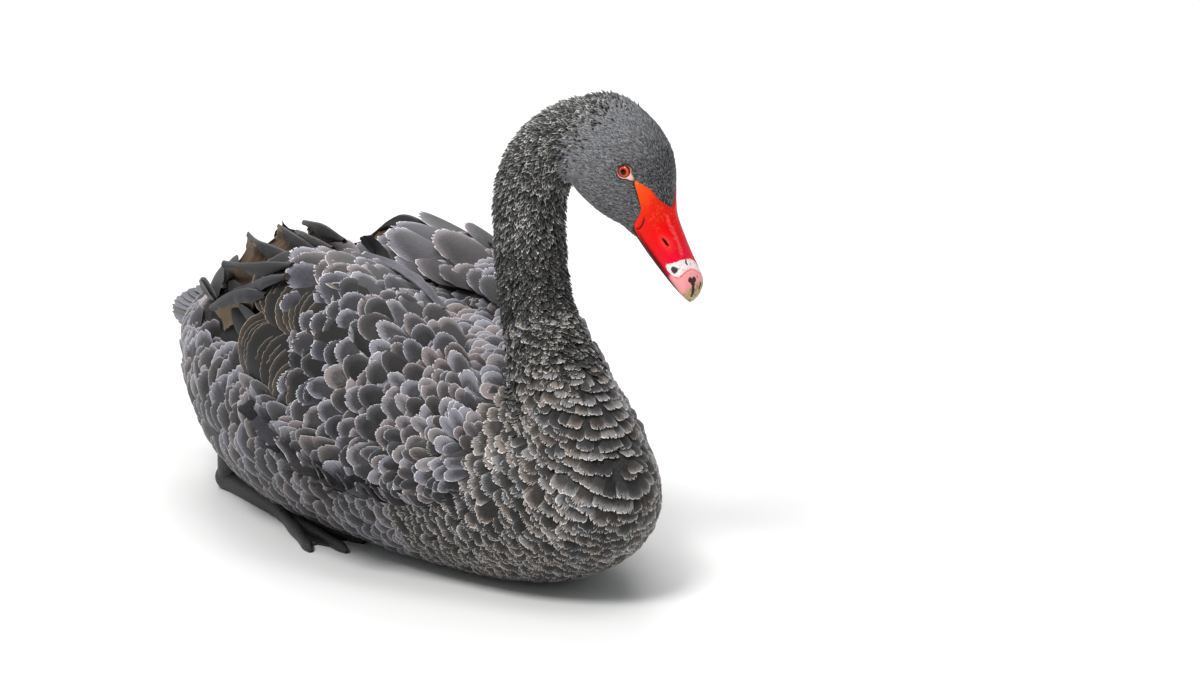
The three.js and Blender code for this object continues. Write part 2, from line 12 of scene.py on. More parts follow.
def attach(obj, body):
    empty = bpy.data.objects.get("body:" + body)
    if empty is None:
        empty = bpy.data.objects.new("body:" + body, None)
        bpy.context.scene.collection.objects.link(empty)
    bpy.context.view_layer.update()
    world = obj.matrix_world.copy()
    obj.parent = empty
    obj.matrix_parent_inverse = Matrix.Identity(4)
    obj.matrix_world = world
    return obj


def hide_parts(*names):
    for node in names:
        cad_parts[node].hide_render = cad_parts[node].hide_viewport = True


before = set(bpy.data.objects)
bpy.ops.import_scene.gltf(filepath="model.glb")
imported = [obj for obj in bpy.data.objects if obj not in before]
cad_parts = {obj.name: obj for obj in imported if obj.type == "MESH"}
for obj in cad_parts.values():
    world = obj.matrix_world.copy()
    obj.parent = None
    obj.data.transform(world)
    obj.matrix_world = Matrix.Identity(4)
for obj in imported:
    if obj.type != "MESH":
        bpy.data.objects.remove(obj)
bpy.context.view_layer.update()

# Skin
# The bird's body, neck, head and folded wings under the feathers, one skin without a seam.
# It is dark, thin and a coat's depth inside the solids, and every feather is set on it.
MM = 0.001
SKIN_VOXEL = 2.4
SKIN_DEPTH = {"hull": 3.5, "neck": 3.0, "head": 1.1, "wing": 3.0}
# The belly's skin and its feathers are pressed flat where they come nearer to the floor than this.
SKIN_REST, FEATHER_REST = 6.0, 4.0
# Breast to stern: x, half width, height of the widest line, back, belly.
HULL = [
    [267, 7, 80, 90, 70], [258, 28, 78, 112, 50], [236, 50, 74, 128, 28],
    [200, 71, 70, 142, 10], [150, 89, 72, 156, -2], [80, 109, 80, 174, -7],
    [0, 118, 86, 186, -8], [-80, 117, 91, 186, -7], [-150, 102, 97, 174, 0],
    [-205, 78, 103, 156, 26], [-245, 50, 110, 140, 52], [-268, 20, 114, 126, 84],
]
# Breast to skull: middle of the section, half size fore and aft, half size sideways.
NECK = [
    [200, 0, 80, 50, 50], [199, 0, 108, 51, 49], [184, 0, 142, 42, 36],
    [164, 0, 175, 34, 29], [148, 0, 209, 29.5, 27], [141.4, 0, 245, 28, 27],
    [140, 0, 275, 28, 27], [143, 1.4, 298, 28, 27], [152, 5.7, 316, 28, 27],
    [166, 12, 330, 28, 27], [184, 20.5, 340, 26, 25], [202, 29, 332, 16, 15],
]
# Nape to forehead, in the head's own frame: distance ahead, then as the hull's.
HEAD = [
    [-62, 4, -2, 3, -7], [-57, 15, -4, 14, -24], [-44, 24, -8, 26, -40],
    [-28, 27.5, -8, 31, -48], [-8, 28.5, -8, 32, -49], [10, 26.5, -10, 27.5, -46],
    [24, 22.5, -13, 17, -41], [36, 19, -17, 2, -40], [46, 16.4, -23, -5.5, -33],
]
# Left wing: x, then y and z of its lower edge, its bulge, its ridge and its inner edge.
WING = [
    [174, 74, 88, 76, 98, 68, 110, 58, 118], [150, 89, 76, 92, 91, 76, 119, 56, 137],
    [120, 101, 72, 102, 97, 77, 139, 44, 162], [60, 113, 74, 116, 116, 84, 180, 28, 188],
    [0, 116, 88, 119, 132, 76, 204, 20, 198], [-60, 111, 114, 113, 150, 70, 206, 16, 198],
    [-120, 96, 142, 100, 168, 60, 202, 14, 193], [-170, 75, 150, 77, 165, 47, 184, 12, 180],
    [-212, 50, 142, 51, 146, 32, 155, 14, 156],
]
WING_DEPTH, WING_TAPER = 46, 24
LEFT_DIP, LEFT_ABOUT = math.radians(1.4), np.array([100.0, 0.0, 130.0])
HEAD_PLACE = np.array([222.0, 38.0, 321.0])
HEAD_TURN, HEAD_BOW = math.radians(25), math.radians(41)


def unit(vectors):
    """The same vectors, one long."""
    return vectors / np.maximum(np.linalg.norm(vectors, axis=-1, keepdims=True), 1e-9)


def between(before, here, there, after, part):
    """A smooth curve through four values, at a part of the way from the second to the third."""
    leave, reach = (there - before) / 2, (after - here) / 2
    start = here * (2 * part**3 - 3 * part**2 + 1) + leave * (part**3 - 2 * part**2 + part)
    return start + there * (3 * part**2 - 2 * part**3) + reach * (part**3 - part**2)


def row_at(table, place):
    """Rows of a table at any places between its rows, on a smooth curve through them."""
    table = np.asarray(table, float)
    place = np.atleast_1d(np.asarray(place, float))
    last = len(table) - 1
    k = np.clip(np.floor(place).astype(int), 0, last - 1)
    rows = (table[np.clip(k + step, 0, last)] for step in (-1, 0, 1, 2))
    return between(*rows, (place - k)[:, None])


ahead_way = np.array([math.cos(HEAD_BOW) * math.cos(HEAD_TURN), math.cos(HEAD_BOW) * math.sin(HEAD_TURN),
                      -math.sin(HEAD_BOW)])
left_way = np.array([-math.sin(HEAD_TURN), math.cos(HEAD_TURN), 0.0])
HEAD_AXES = np.stack([ahead_way, left_way, np.cross(ahead_way, left_way)], 1)


def from_head(points):
    """Points of the head's own frame in the bird's frame."""
    return np.asarray(points) @ HEAD_AXES.T + HEAD_PLACE


def into_head(points):
    """Points of the bird's frame in the head's own frame."""
    return (np.asarray(points) - HEAD_PLACE) @ HEAD_AXES


def egg(table, place, turn, grow=0.0):
    """Points of an egg-shaped body along x, turned from its left side over its top."""
    x, wide, level, top, low = row_at(table, place).T
    rise = np.sin(turn) * np.where(np.sin(turn) > 0, top - level + grow, level - low + grow)
    return np.stack([x, np.cos(turn) * (wide + grow), level + rise], -1)


def neck_frame(place):
    """Middle of the neck, the way it runs, its front and its right side, and its half sizes."""
    row = row_at(NECK, place)
    ahead = unit(row_at(NECK, place + 0.01)[:, :3] - row[:, :3])
    turned = np.clip((np.atleast_1d(place) - 5) / 4, 0, 1)[:, None]
    left = (1 - turned) * np.array([0.0, 1.0, 0.0]) + turned * left_way
    fore = unit(np.cross(left, ahead))
    return row[:, :3], ahead, fore, np.cross(fore, ahead), row[:, 3:]


def neck_point(place, turn, grow):
    """Points of the neck's surface, turned from its front over its right side."""
    middle, _, fore, right, half = neck_frame(place)
    across = fore * (np.cos(turn) * (half[:, 0] + grow))[:, None]
    return middle + across + right * (np.sin(turn) * (half[:, 1] + grow))[:, None]


def wing_point(place, up):
    """Points of the left wing's outer surface, from its lower edge at 0 to its inner edge at 1."""
    row = row_at(WING, place)
    part = np.clip(np.broadcast_to(up, len(row)) * 3, -0.6, 3.6)
    corners = row[:, 1:].reshape(-1, 4, 2)
    k = np.clip(np.floor(part).astype(int), 0, 2)
    at = np.arange(len(row))
    near = (corners[at, np.clip(k + step, 0, 3)] for step in (-1, 0, 1, 2))
    yz = between(*near, (part - k)[:, None])
    return np.concatenate([row[:, :1], yz], 1)


def dipped(points):
    """The left wing's points, a little lower behind."""
    c, s = math.cos(-LEFT_DIP), math.sin(-LEFT_DIP)
    turn = np.array([[c, 0, s], [0, 1, 0], [-s, 0, c]])
    return (points - LEFT_ABOUT) @ turn.T + LEFT_ABOUT


def mirrored(points):
    """The same points on the bird's right side."""
    return points * np.array([1.0, -1.0, 1.0])


def mesh_of(name, points, faces):
    """A smooth mesh object from points in millimetres and a list of arrays, each of faces of one size."""
    mesh = bpy.data.meshes.new(name)
    flat = np.concatenate([np.ravel(f) for f in faces]).astype(np.int32)
    sizes = np.concatenate([np.full(len(f), f.shape[1]) for f in faces])
    mesh.vertices.add(len(points))
    mesh.vertices.foreach_set("co", (np.asarray(points) * MM).astype(np.float32).ravel())
    mesh.loops.add(len(flat))
    mesh.loops.foreach_set("vertex_index", flat)
    mesh.polygons.add(len(sizes))
    starts = np.concatenate([[0], np.cumsum(sizes)[:-1]]).astype(np.int32)
    mesh.polygons.foreach_set("loop_start", starts)
    mesh.polygons.foreach_set("use_smooth", np.full(len(sizes), True))
    mesh.update(calc_edges=True)
    mesh.validate()
    piece = bpy.data.objects.new(name, mesh)
    bpy.context.scene.collection.objects.link(piece)
    return piece


def all_round(count):
    """Angles that stand evenly round a circle."""
    return np.arange(count) / count * 2 * np.pi


def round_faces(count, size):
    """Faces between closed rings of points."""
    i, j = np.meshgrid(np.arange(count - 1), np.arange(size), indexing="ij")
    here, beside = i * size + j, i * size + (j + 1) % size
    return np.stack([here, beside, beside + size, here + size], -1).reshape(-1, 4)


def loft(rings):
    """Points and faces of a closed body through rings of points."""
    count, size = len(rings), len(rings[0])
    points = np.concatenate([*rings, [np.mean(rings[0], 0)], [np.mean(rings[-1], 0)]])
    j = np.arange(size)
    first = np.stack([j, (j + 1) % size, np.full(size, count * size)], -1)[:, ::-1]
    far = (count - 1) * size
    last = np.stack([far + j, far + (j + 1) % size, np.full(size, count * size + 1)], -1)
    return points, [round_faces(count, size), np.concatenate([first, last])]


def ring_stack(surface, start, end, steps, sides, grow):
    """Rings of a surface of places and turns."""
    places = np.linspace(start, end, steps)
    return [surface(np.full(sides, place), all_round(sides), grow) for place in places]


def joined(bodies):
    """Points and faces of several bodies as one."""
    starts = np.cumsum([0] + [len(points) for points, _ in bodies])
    faces = [group + start for start, (_, groups) in zip(starts, bodies) for group in groups]
    return np.concatenate([points for points, _ in bodies]), faces


def wing_rings(shift):
    """Rings round the left wing: its outer surface, drawn in by the coat's depth, and its inner side.
    The flesh ends well before the feathers do, and lies deeper there."""
    rings = []
    for place in np.linspace(0.15, 7.9, 34):
        deep = shift + WING_TAPER * min(1, max(0, (place - 4.2) / 1.6))
        ups = np.linspace(0, 1, 14)
        outer = wing_point(np.full(14, place), ups)
        around = np.gradient(outer, axis=0)
        inward = unit(np.cross(around, np.array([-1.0, 0.0, 0.0])))
        inward *= np.sign(inward @ np.array([0.0, -1.0, -0.6]))[:, None]
        depth = WING_DEPTH * min(1, (8 - place) / 2 + 0.3, place / 2 + 0.3)
        inner = outer[[10, 3]] + np.array([0.0, -0.8, -0.6]) * depth
        rings.append(np.concatenate([outer + inward * deep, inner]))
    return rings


def hull_point(place, turn, grow):
    """Points of the body's surface."""
    return egg(HULL, place, turn, grow)


def head_point(place, turn, grow):
    """Points of the head's surface."""
    return from_head(egg(HEAD, place, turn, grow))


def rested(points, above):
    """Points pressed flat where they come nearer to the floor than this, as under a resting belly."""
    height = points[:, 2]
    pressed = above * np.exp((np.minimum(height, above) - above) / (2 * above))
    return np.column_stack([points[:, :2], np.where(height < above, pressed, height)])


shells = [
    loft(ring_stack(hull_point, 0.05, 10.95, 60, 64, -SKIN_DEPTH["hull"])),
    loft(ring_stack(neck_point, 0.0, 11.0, 70, 48, -SKIN_DEPTH["neck"])),
    loft(ring_stack(head_point, 0.06, 7.85, 54, 48, -SKIN_DEPTH["head"])),
    loft([dipped(ring) for ring in wing_rings(SKIN_DEPTH["wing"])]),
    loft([mirrored(ring) for ring in wing_rings(SKIN_DEPTH["wing"])]),
]
skin = mesh_of("swan_skin", *joined(shells))
remesh = skin.modifiers.new("one_skin", "REMESH")
remesh.mode, remesh.voxel_size, remesh.use_smooth_shade = "VOXEL", SKIN_VOXEL * MM, True
soften = skin.modifiers.new("soften", "SMOOTH")
soften.factor, soften.iterations = 0.5, 8
one_skin = bpy.data.meshes.new_from_object(skin.evaluated_get(bpy.context.evaluated_depsgraph_get()))
skin.modifiers.clear()
skin.data = one_skin


def read_out(items, key, size, kind=float):
    """Values of a mesh's points or corners, a row of them for each."""
    values = np.zeros(len(items) * size, kind)
    items.foreach_get(key, values)
    return values.reshape(-1, size)


skin_points = rested(read_out(skin.data.vertices, "co", 3) / MM, SKIN_REST)
skin.data.vertices.foreach_set("co", (skin_points * MM).ravel())
skin.data.update()
skin_normals = read_out(skin.data.vertices, "normal", 3)
skin_quads = read_out(skin.data.loops, "vertex_index", 1, np.int32).reshape(-1, 4)
skin_tree = BVHTree.FromPolygons(skin_points.tolist(), skin_quads.tolist())


def on_skin(points):
    """The skin's nearest points and its smooth normals there."""
    found, faces = np.empty_like(points), np.empty(len(points), int)
    for i, point in enumerate(points):
        found[i], _, faces[i], _ = skin_tree.find_nearest(Vector(point))
    corners = skin_quads[faces]
    weights = 1 / (np.linalg.norm(skin_points[corners] - found[:, None], axis=-1) + 0.3)
    return found, unit((skin_normals[corners] * weights[..., None]).sum(1))


def egg_measure(points, table, grow):
    """How far out points lie from the middle of an egg-shaped body along x: 1 on its surface."""
    rows = row_at(table, np.linspace(0, len(table) - 1, 200))
    rows = rows[np.argsort(rows[:, 0])]
    wide, level, top, low = (np.interp(points[:, 0], rows[:, 0], rows[:, c]) for c in (1, 2, 3, 4))
    high = points[:, 2] - level
    rise = np.where(high > 0, top - level, level - low) + grow
    measure = np.sqrt((points[:, 1] / (wide + grow)) ** 2 + (high / rise) ** 2)
    past = (points[:, 0] < rows[0, 0]) | (points[:, 0] > rows[-1, 0])
    return np.where(past, 9.0, measure)


def neck_measure(points, grow):
    """The nearest place along the neck for points, and how far out they lie: 1 on its surface."""
    places = np.linspace(0, 11, 221)
    middles, _, fore, right, half = neck_frame(places)
    near = np.argmin(((points[:, None] - middles[None]) ** 2).sum(-1), 1)
    off = points - middles[near]
    out = ((off * fore[near]).sum(-1) / (half[near, 0] + grow)) ** 2
    return places[near], np.sqrt(out + ((off * right[near]).sum(-1) / (half[near, 1] + grow)) ** 2)


skin_middles = skin_points[skin_quads].mean(1)
head_measures = egg_measure(into_head(skin_middles), HEAD, -SKIN_DEPTH["head"])
neck_places, neck_measures = neck_measure(skin_middles, -SKIN_DEPTH["neck"])
on_head_skin = head_measures < 1.08
on_neck_skin = ~on_head_skin & (neck_measures < 1.2) & (skin_middles[:, 2] > 120)

# Feathers
# Each feather is a vane of horn on a fine shaft: rooted in the skin, lying back over the next one,
# bent with the body and cupped a little. Its end is cut into the tips of its barbs, and from its widest
# place, halfway along, narrow ones taper.
WIDEST = 0.5


def grid_faces(rows, columns):
    """Faces of a grid of points."""
    i, j = np.meshgrid(np.arange(rows - 1), np.arange(columns - 1), indexing="ij")
    here = (i * columns + j).ravel()
    return np.stack([here, here + 1, here + columns + 1, here + columns], -1)


def vane_shape(rng, steps, columns, rounding, teeth, root, taper=0.0):
    """A vane's outline as a grid: part of its length, part of its half width and how far from its end.
    Its end is rounded and cut into barb tips, with a few deeper gaps where barbs have parted."""
    across = np.linspace(-1, 1, columns)
    reach = 1 - rounding * (1 - np.sqrt(1 - 0.97 * across**2))
    cut = teeth * (np.arange(columns) % 2) * rng.uniform(0, 1, columns) ** 1.6 * 2.2
    cut += teeth * 0.3 * rng.uniform(-1, 1, columns)
    for gap in rng.uniform(-0.8, 0.8, 2):
        cut += teeth * rng.uniform(0.3, 1.6) * np.exp(-(((across - gap) / 0.1) ** 2))
    steps = np.asarray(steps)[:, None]
    along = steps * reach[None, :]
    along[-1] -= cut
    width = root + (1 - root) * np.minimum(1, steps / WIDEST) ** 0.7
    width = width * (1 - taper * np.maximum(0, (steps - WIDEST) / (1 - WIDEST)) ** 1.6)
    return along, across[None, :] * width, (1 - steps) * reach[None, :] + 0 * along


def settle(points, normals, headings, lengths, count, sink, lift, rise=0.7, way=None, pull=0.0):
    """Spines of feathers laid along the skin: their places, the way they run and their outward normals."""
    stride = (lengths / (count - 1))[:, None]
    at, normal = points.copy(), normals.copy()
    heading = headings.copy()
    places, runs, outs = [], [], []
    for i in range(count):
        if way is not None and pull:
            heading = heading + pull * way(at)
        heading = unit(heading - normal * np.sum(heading * normal, -1, keepdims=True))
        height = -sink + (lift + sink) * (i / (count - 1)) ** rise
        places.append(at + normal * height[:, None])
        runs.append(heading)
        outs.append(normal)
        if i < count - 1:
            at, normal = on_skin(at + heading * stride)
    return np.stack(places, 1), np.stack(runs, 1), np.stack(outs, 1)


def coat(name, spines, lengths, widths, shapes, seeds, unwrap, cup, tilt=None, tone=None):
    """One mesh of many feathers on their spines, each with a shape of its own from the given ones.
    cup is how far a vane arches across, and tilt turns it about its shaft."""
    total, count = spines[0].shape[:2]
    steps = count - 1
    pick = seeds.integers(0, len(shapes), total)
    tones = seeds.uniform(0, 1, total) if tone is None else tone
    points, faces, vane, baked, rims, shades = [], [], [], [], [], []
    start = 0
    for k, (along, across, edge) in enumerate(shapes):
        chosen = np.nonzero(pick == k)[0]
        if not len(chosen):
            continue
        size = along.size
        part = np.clip(along.ravel(), 0, 1) * steps
        low = np.minimum(part.astype(int), steps - 1)
        f = (part - low)[None, :, None]
        own = (values[chosen] for values in spines)
        at, run, out = (values[:, low] * (1 - f) + values[:, low + 1] * f for values in own)
        run, out = unit(run), unit(out)
        side = unit(np.cross(run, out))
        up = np.cross(side, run)
        if tilt is not None:
            angle = tilt[chosen][:, None, None]
            side, up = side * np.cos(angle) + up * np.sin(angle), up * np.cos(angle) - side * np.sin(angle)
        half = (widths[chosen] / 2)[:, None]
        s = across.ravel()[None, :]
        t = along.ravel()[None, :]
        top = at + side * (s * half)[..., None] + up * (-cup * s**2 * half)[..., None]
        offsets = np.arange(len(chosen)) * size
        sheet = (grid_faces(*along.shape)[None] + offsets[:, None, None]).reshape(-1, 4)
        vane.append(np.stack([s * half, t * lengths[chosen][:, None]], -1).reshape(-1, 2) / 10)
        patch = np.stack([s + 0 * half, t * 2 - 1 + 0 * half], -1) * 0.0015
        baked.append((unwrap[chosen][:, None, :] + patch).reshape(-1, 2))
        rows, columns = along.shape
        beside = (1 - np.abs(np.linspace(-1, 1, columns)))[None] * 0.8
        beside = beside + 1.5 * (1 - np.linspace(0, 1, rows))[:, None] ** 2
        from_edge = np.minimum(edge.ravel()[None] * lengths[chosen][:, None], beside.ravel()[None] * half)
        rims.append(np.minimum(from_edge, 30).ravel() / 10)
        shades.append(np.repeat(tones[chosen], size))
        points.append(top.reshape(-1, 3))
        faces.append(sheet + start)
        start += len(chosen) * size
    return vane_mesh(name, points, faces, baked, vane, edge=rims, tone=shades)


def mark_points(piece, key, values, kind="FLOAT", field="value"):
    """Gives a mesh's points values under a name, for its material to read."""
    attribute = piece.data.attributes.new(key, kind, "POINT")
    attribute.data.foreach_set(field, np.ravel(values).astype(np.float32))


def vane_mesh(name, points, faces, baked, vane, **values):
    """A mesh with its two UV maps and its values at each point, all from lists of arrays."""
    piece = mesh_of(name, rested(np.concatenate(points), FEATHER_REST), [np.concatenate(faces)])
    corners = read_out(piece.data.loops, "vertex_index", 1, np.int32).ravel()
    for layer, places in (("OFBake", baked), ("Vane", vane)):
        uv = piece.data.uv_layers.new(name=layer)
        uv.data.foreach_set("uv", np.concatenate(places)[corners].astype(np.float32).ravel())
    for layer, numbers in values.items():
        mark_points(piece, layer, np.concatenate(numbers))
    return piece


def linear(hex_colour):
    """An sRGB hex colour as linear red, green, blue and 1."""
    values = [int(hex_colour[i : i + 2], 16) / 255 for i in (1, 3, 5)]
    return [v / 12.92 if v <= 0.04045 else ((v + 0.055) / 1.055) ** 2.4 for v in values] + [1.0]


TIMES, PLUS, LESS, SHARED = ({"operation": word} for word in ("MULTIPLY", "ADD", "SUBTRACT", "DIVIDE"))
BLEND, EASED = {"data_type": "RGBA"}, {"interpolation_type": "SMOOTHSTEP"}


def node(tree, kind, settings=(), *values, out="", **named):
    """Adds a node with its settings, a ramp's stops among them, and fills its inputs in order or by name
    with values or other nodes' outputs. Gives its first output, the one that out names, or all of them."""
    made = tree.nodes.new("ShaderNode" + kind)
    for key, value in dict(settings).items():
        if key != "stops":
            setattr(made, key, value)
            continue
        elements = made.color_ramp.elements
        while len(elements) < len(value):
            elements.new(0.5)
        for element, (place, colour) in zip(elements, value):
            element.position, element.color = place, linear(colour)
    sockets = [socket for socket in made.inputs if socket.enabled]
    chosen = [(made.inputs[key], value) for key, value in named.items()]
    for socket, value in [*zip(sockets, values), *chosen]:
        if isinstance(value, bpy.types.NodeSocket):
            tree.links.new(value, socket)
        else:
            socket.default_value = value
    found = [socket for socket in made.outputs if socket.enabled]
    return found if out == "all" else next(socket for socket in found if out in ("", socket.name))


def blank(name, values):
    """A new material, its node tree and its shader, with values on the shader's own sockets."""
    material = bpy.data.materials.new(name)
    material.use_nodes = True
    shader = material.node_tree.nodes["Principled BSDF"]
    for key, value in values.items():
        shader.inputs[key].default_value = value
    return material, material.node_tree, shader


# Single feathers lean to slate, stay grey or lean to brown.
TINTS = [(0.0, "#dfe6f6"), (0.45, "#ffffff"), (0.7, "#f6e6d8"), (1.0, "#e0c2ac")]
# Barbs are drawn a few times as coarse as real ones, which are too fine to show.
HORN_IOR, BARB_LEAN, BARBS_A_CM, BARB_RELIEF = 1.54, 0.45, 16.0, 0.3


def vane_finish(name, grounds, rim_colour, rim, rim_share, shade_length, roughness, patch, streak=0.5,
                under_colour=None, tint_share=0.6, vary=0.35):
    """Feather horn coloured by melanin: dull and silky, pale where barb tips are worn, and darker towards its
    base with painted shade for the feather that lies over it.
    grounds are its colours from dark to light. In mm: rim is the worn edge's width, shade_length the length
    of vane from its end over which the painted shade deepens, patch the size of the coat's clouds. streak is
    how strongly barbs show, and vary how much one feather differs from the next."""
    material, tree, shader = blank(name, {"Roughness": roughness, "IOR": HORN_IOR, "Specular IOR Level": 0.3,
                                          "Sheen Weight": 0.1})
    tone, edge = (node(tree, "Attribute", {"attribute_name": key}, out="Fac") for key in ("tone", "edge"))
    vane = node(tree, "UVMap", {"uv_map": "Vane"})
    place = node(tree, "TexCoord", out="Object")
    out, along, _ = node(tree, "SeparateXYZ", (), vane, out="all")
    across = node(tree, "Math", {"operation": "ABSOLUTE"}, out)
    barb = node(tree, "Math", LESS, across, node(tree, "Math", TIMES, along, BARB_LEAN))
    combed = node(tree, "CombineXYZ", (), node(tree, "Math", TIMES, barb, BARBS_A_CM),
                  node(tree, "Math", TIMES, along, 3.0), node(tree, "Math", TIMES, tone, 40.0))
    barbs = node(tree, "TexNoise", (), combed, 1.0, 3.0)
    cloud = node(tree, "TexNoise", (), place, 1000 / patch)
    grain = node(tree, "Math", LESS, barbs, 0.5)
    # Painted shade: the vane darkens from its free end towards its base, where the feather over it shades it.
    painted_base_shade = node(tree, "Math", LESS, 1.0, node(tree, "Math", SHARED, edge, shade_length / 10))
    painted_base_shade = node(tree, "Math", {"operation": "MAXIMUM"}, painted_base_shade, 0.0)
    own = node(tree, "Math", TIMES, node(tree, "Math", LESS, tone, 0.5), vary)
    ground = node(tree, "Math", PLUS, own, node(tree, "Math", TIMES, cloud, 0.3))
    ground = node(tree, "Math", PLUS, ground, 0.14)
    for part, share in ((painted_base_shade, 0.55), (grain, streak)):
        ground = node(tree, "Math", PLUS, ground, node(tree, "Math", TIMES, part, share))
    stops = [(0.15 + 0.75 * i / (len(grounds) - 1), colour) for i, colour in enumerate(grounds)]
    colour = node(tree, "ValToRGB", {"stops": stops}, ground)
    lean = node(tree, "Math", {"operation": "FRACT"}, node(tree, "Math", TIMES, tone, 7.3))
    tint = node(tree, "ValToRGB", {"stops": TINTS}, lean)
    colour = node(tree, "Mix", {**BLEND, "blend_type": "MULTIPLY"}, tint_share, colour, tint)
    worn = node(tree, "Math", SHARED, edge, rim / 10)
    worn = node(tree, "Math", PLUS, worn, node(tree, "Math", TIMES, grain, 2.4))
    worn = node(tree, "MapRange", EASED, worn, 1.0, 0.1)
    strength = node(tree, "Math", TIMES, node(tree, "Math", TIMES, tone, tone), 1.5 * vary * rim_share)
    strength = node(tree, "Math", PLUS, strength, (1 - vary) * rim_share)
    colour = node(tree, "Mix", BLEND, node(tree, "Math", TIMES, worn, strength), colour, linear(rim_colour))
    if under_colour:
        below = node(tree, "Attribute", {"attribute_name": "under"}, out="Fac")
        shade = node(tree, "Math", PLUS, ground, node(tree, "Math", TIMES, cloud, 0.2))
        under = node(tree, "ValToRGB", {"stops": under_colour}, shade)
        colour = node(tree, "Mix", BLEND, below, colour, under)
    tree.links.new(colour, shader.inputs["Base Color"])
    tree.links.new(node(tree, "Bump", (), 0.5, BARB_RELIEF * MM, Height=barbs), shader.inputs["Normal"])
    return material


def dress(piece, material, slot, *nodes):
    """Gives a piece its material and the body it rides on, and hides the solids it stands for. Its slot is
    not used.
    """
    piece.data.materials.clear()
    piece.data.materials.append(material)
    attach(piece, "root")
    if nodes:
        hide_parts(*nodes)
    return piece


def bare_skin():
    """Thin bird skin under the coat, dark grey and dull, with the bases of the down showing as grain."""
    material, tree, shader = blank("bare_bird_skin", {"Roughness": 0.85})
    grain = node(tree, "TexNoise", (), node(tree, "TexCoord", out="Object"), 400.0)
    colour = node(tree, "ValToRGB", {"stops": [(0.3, "#141314"), (0.7, "#2a282a")]}, grain)
    tree.links.new(colour, shader.inputs["Base Color"])
    return material


dress(skin, bare_skin(), "body_feathers",
      "breast", "torso", "rump", "neck_lower", "neck_middle", "neck_upper", "head")

# Where feathers are rooted
# Small feathers stand evenly over the skin, and large ones in rows round the body.
# Each row stands half a feather off the one before.


def scattered(faces, split, rng, jitter=0.7):
    """Roots and normals spread evenly over some of the skin's faces, split by split on each."""
    corners, leans = skin_points[skin_quads[faces]], skin_normals[skin_quads[faces]]
    roots, normals = [], []
    for i in range(split):
        for j in range(split):
            u, v = ((k + 0.5 + jitter * rng.uniform(-0.5, 0.5, (len(faces), 1))) / split for k in (i, j))
            shares = ((1 - u) * (1 - v), u * (1 - v), u * v, (1 - u) * v)
            roots.append(sum(share * corners[:, c] for c, share in enumerate(shares)))
            normals.append(sum(share * leans[:, c] for c, share in enumerate(shares)))
    return np.concatenate(roots), unit(np.concatenate(normals))


def row_marks(k, count, jitter, rng):
    """Parts along a row for its feathers, which stand half a feather off the row before."""
    return (np.arange(count) + (0.25 if k % 2 else 0.75) + rng.uniform(-jitter, jitter, count)) / count


def arc_rows(polylines, room, rng):
    """Points spaced by room along each polyline, with their part of it: (points, row number, part)."""
    found, rows, parts_along = [], [], []
    for k, line in enumerate(polylines):
        gaps = np.linalg.norm(np.diff(line, axis=0), axis=1)
        total = np.concatenate([[0], np.cumsum(gaps)])
        if total[-1] < room:
            continue
        count = max(1, int(round(total[-1] / room)))
        marks = np.clip(row_marks(k, count, 0.3, rng), 0, 1) * total[-1]
        found.append(np.stack([np.interp(marks, total, line[:, c]) for c in range(3)], -1))
        rows.append(np.full(count, k))
        parts_along.append(marks / total[-1])
    return np.concatenate(found), np.concatenate(rows), np.concatenate(parts_along)


def unwrapped(across, along):
    """Where feathers lie on their piece's flat sheet, inside its margin."""
    return np.stack([0.05 + 0.9 * across, 0.05 + 0.9 * along], -1)


grid_ups = np.linspace(0.02, 0.99, 40)
wing_grid = np.concatenate([wing_point(np.full(40, place), grid_ups) for place in np.linspace(0.2, 8, 90)])
wing_near = KDTree(2 * len(wing_grid))
for i, point in enumerate(np.concatenate([dipped(wing_grid), mirrored(wing_grid)])):
    wing_near.insert(point, i)
wing_near.balance()


def off_wing(points, clear):
    """Which points are further than clear from both wings' outer surfaces."""
    return np.array([wing_near.find(point)[2] for point in points]) > clear

# Head feathers
# Short, dense, velvety feathers, smallest round the bill and the eyes, dull charcoal with a grey bloom.
# They part round the eye and stop at the bare red skin before it and at the bill, in a point on the forehead.
EYE_PLACE, EYE_AXIS = np.array([2.3, 19.2, 2.0]), unit(np.array([0.03, 0.99, 0.09]))
EYE_BALL, EYE_SHOWN = 7.4, 5.4
EYE_MIDDLE = EYE_PLACE + EYE_AXIS * EYE_BALL
# Edge of the feathers: degrees round the head from its widest line up to its crown, or down to its throat,
# and how far ahead they reach there.
FACE_EDGE = [[-90, 44], [-70, 40.5], [-48, 36.5], [-29, 33.3], [-13, 33], [0, 32.6], [9.3, 31.2],
             [13.4, 25.6], [17.6, 19], [19.6, 14], [21.2, 11.2], [22.8, 13], [26.8, 18.5], [35.4, 24.8],
             [46, 31.7], [58, 35.8], [70, 38.6], [80, 40.6], [90, 42]]


def smooth(values, low, high):
    """0 below low, 1 above high and an even slope between."""
    part = np.clip((values - low) / (high - low), 0, 1)
    return part * part * (3 - 2 * part)


def place_on(table, ahead):
    """Places along a table at distances ahead."""
    fine = np.linspace(0, len(table) - 1, 400)
    return np.interp(ahead, row_at(table, fine)[:, 0], fine)


def bare_face(local):
    """Which points of the head's frame lie on the bare red skin or the bill."""
    edge = np.array(FACE_EDGE, float)
    ahead = np.clip(local[:, 0], -60, 45.5)
    _, wide, level, top, low = row_at(HEAD, place_on(HEAD, ahead)).T
    high = local[:, 2] - level
    part = high / np.where(high > 0, top - level, level - low)
    turn = np.degrees(np.arctan2(part, np.abs(local[:, 1]) / wide))
    return local[:, 0] > np.interp(turn, edge[:, 0], edge[:, 1])


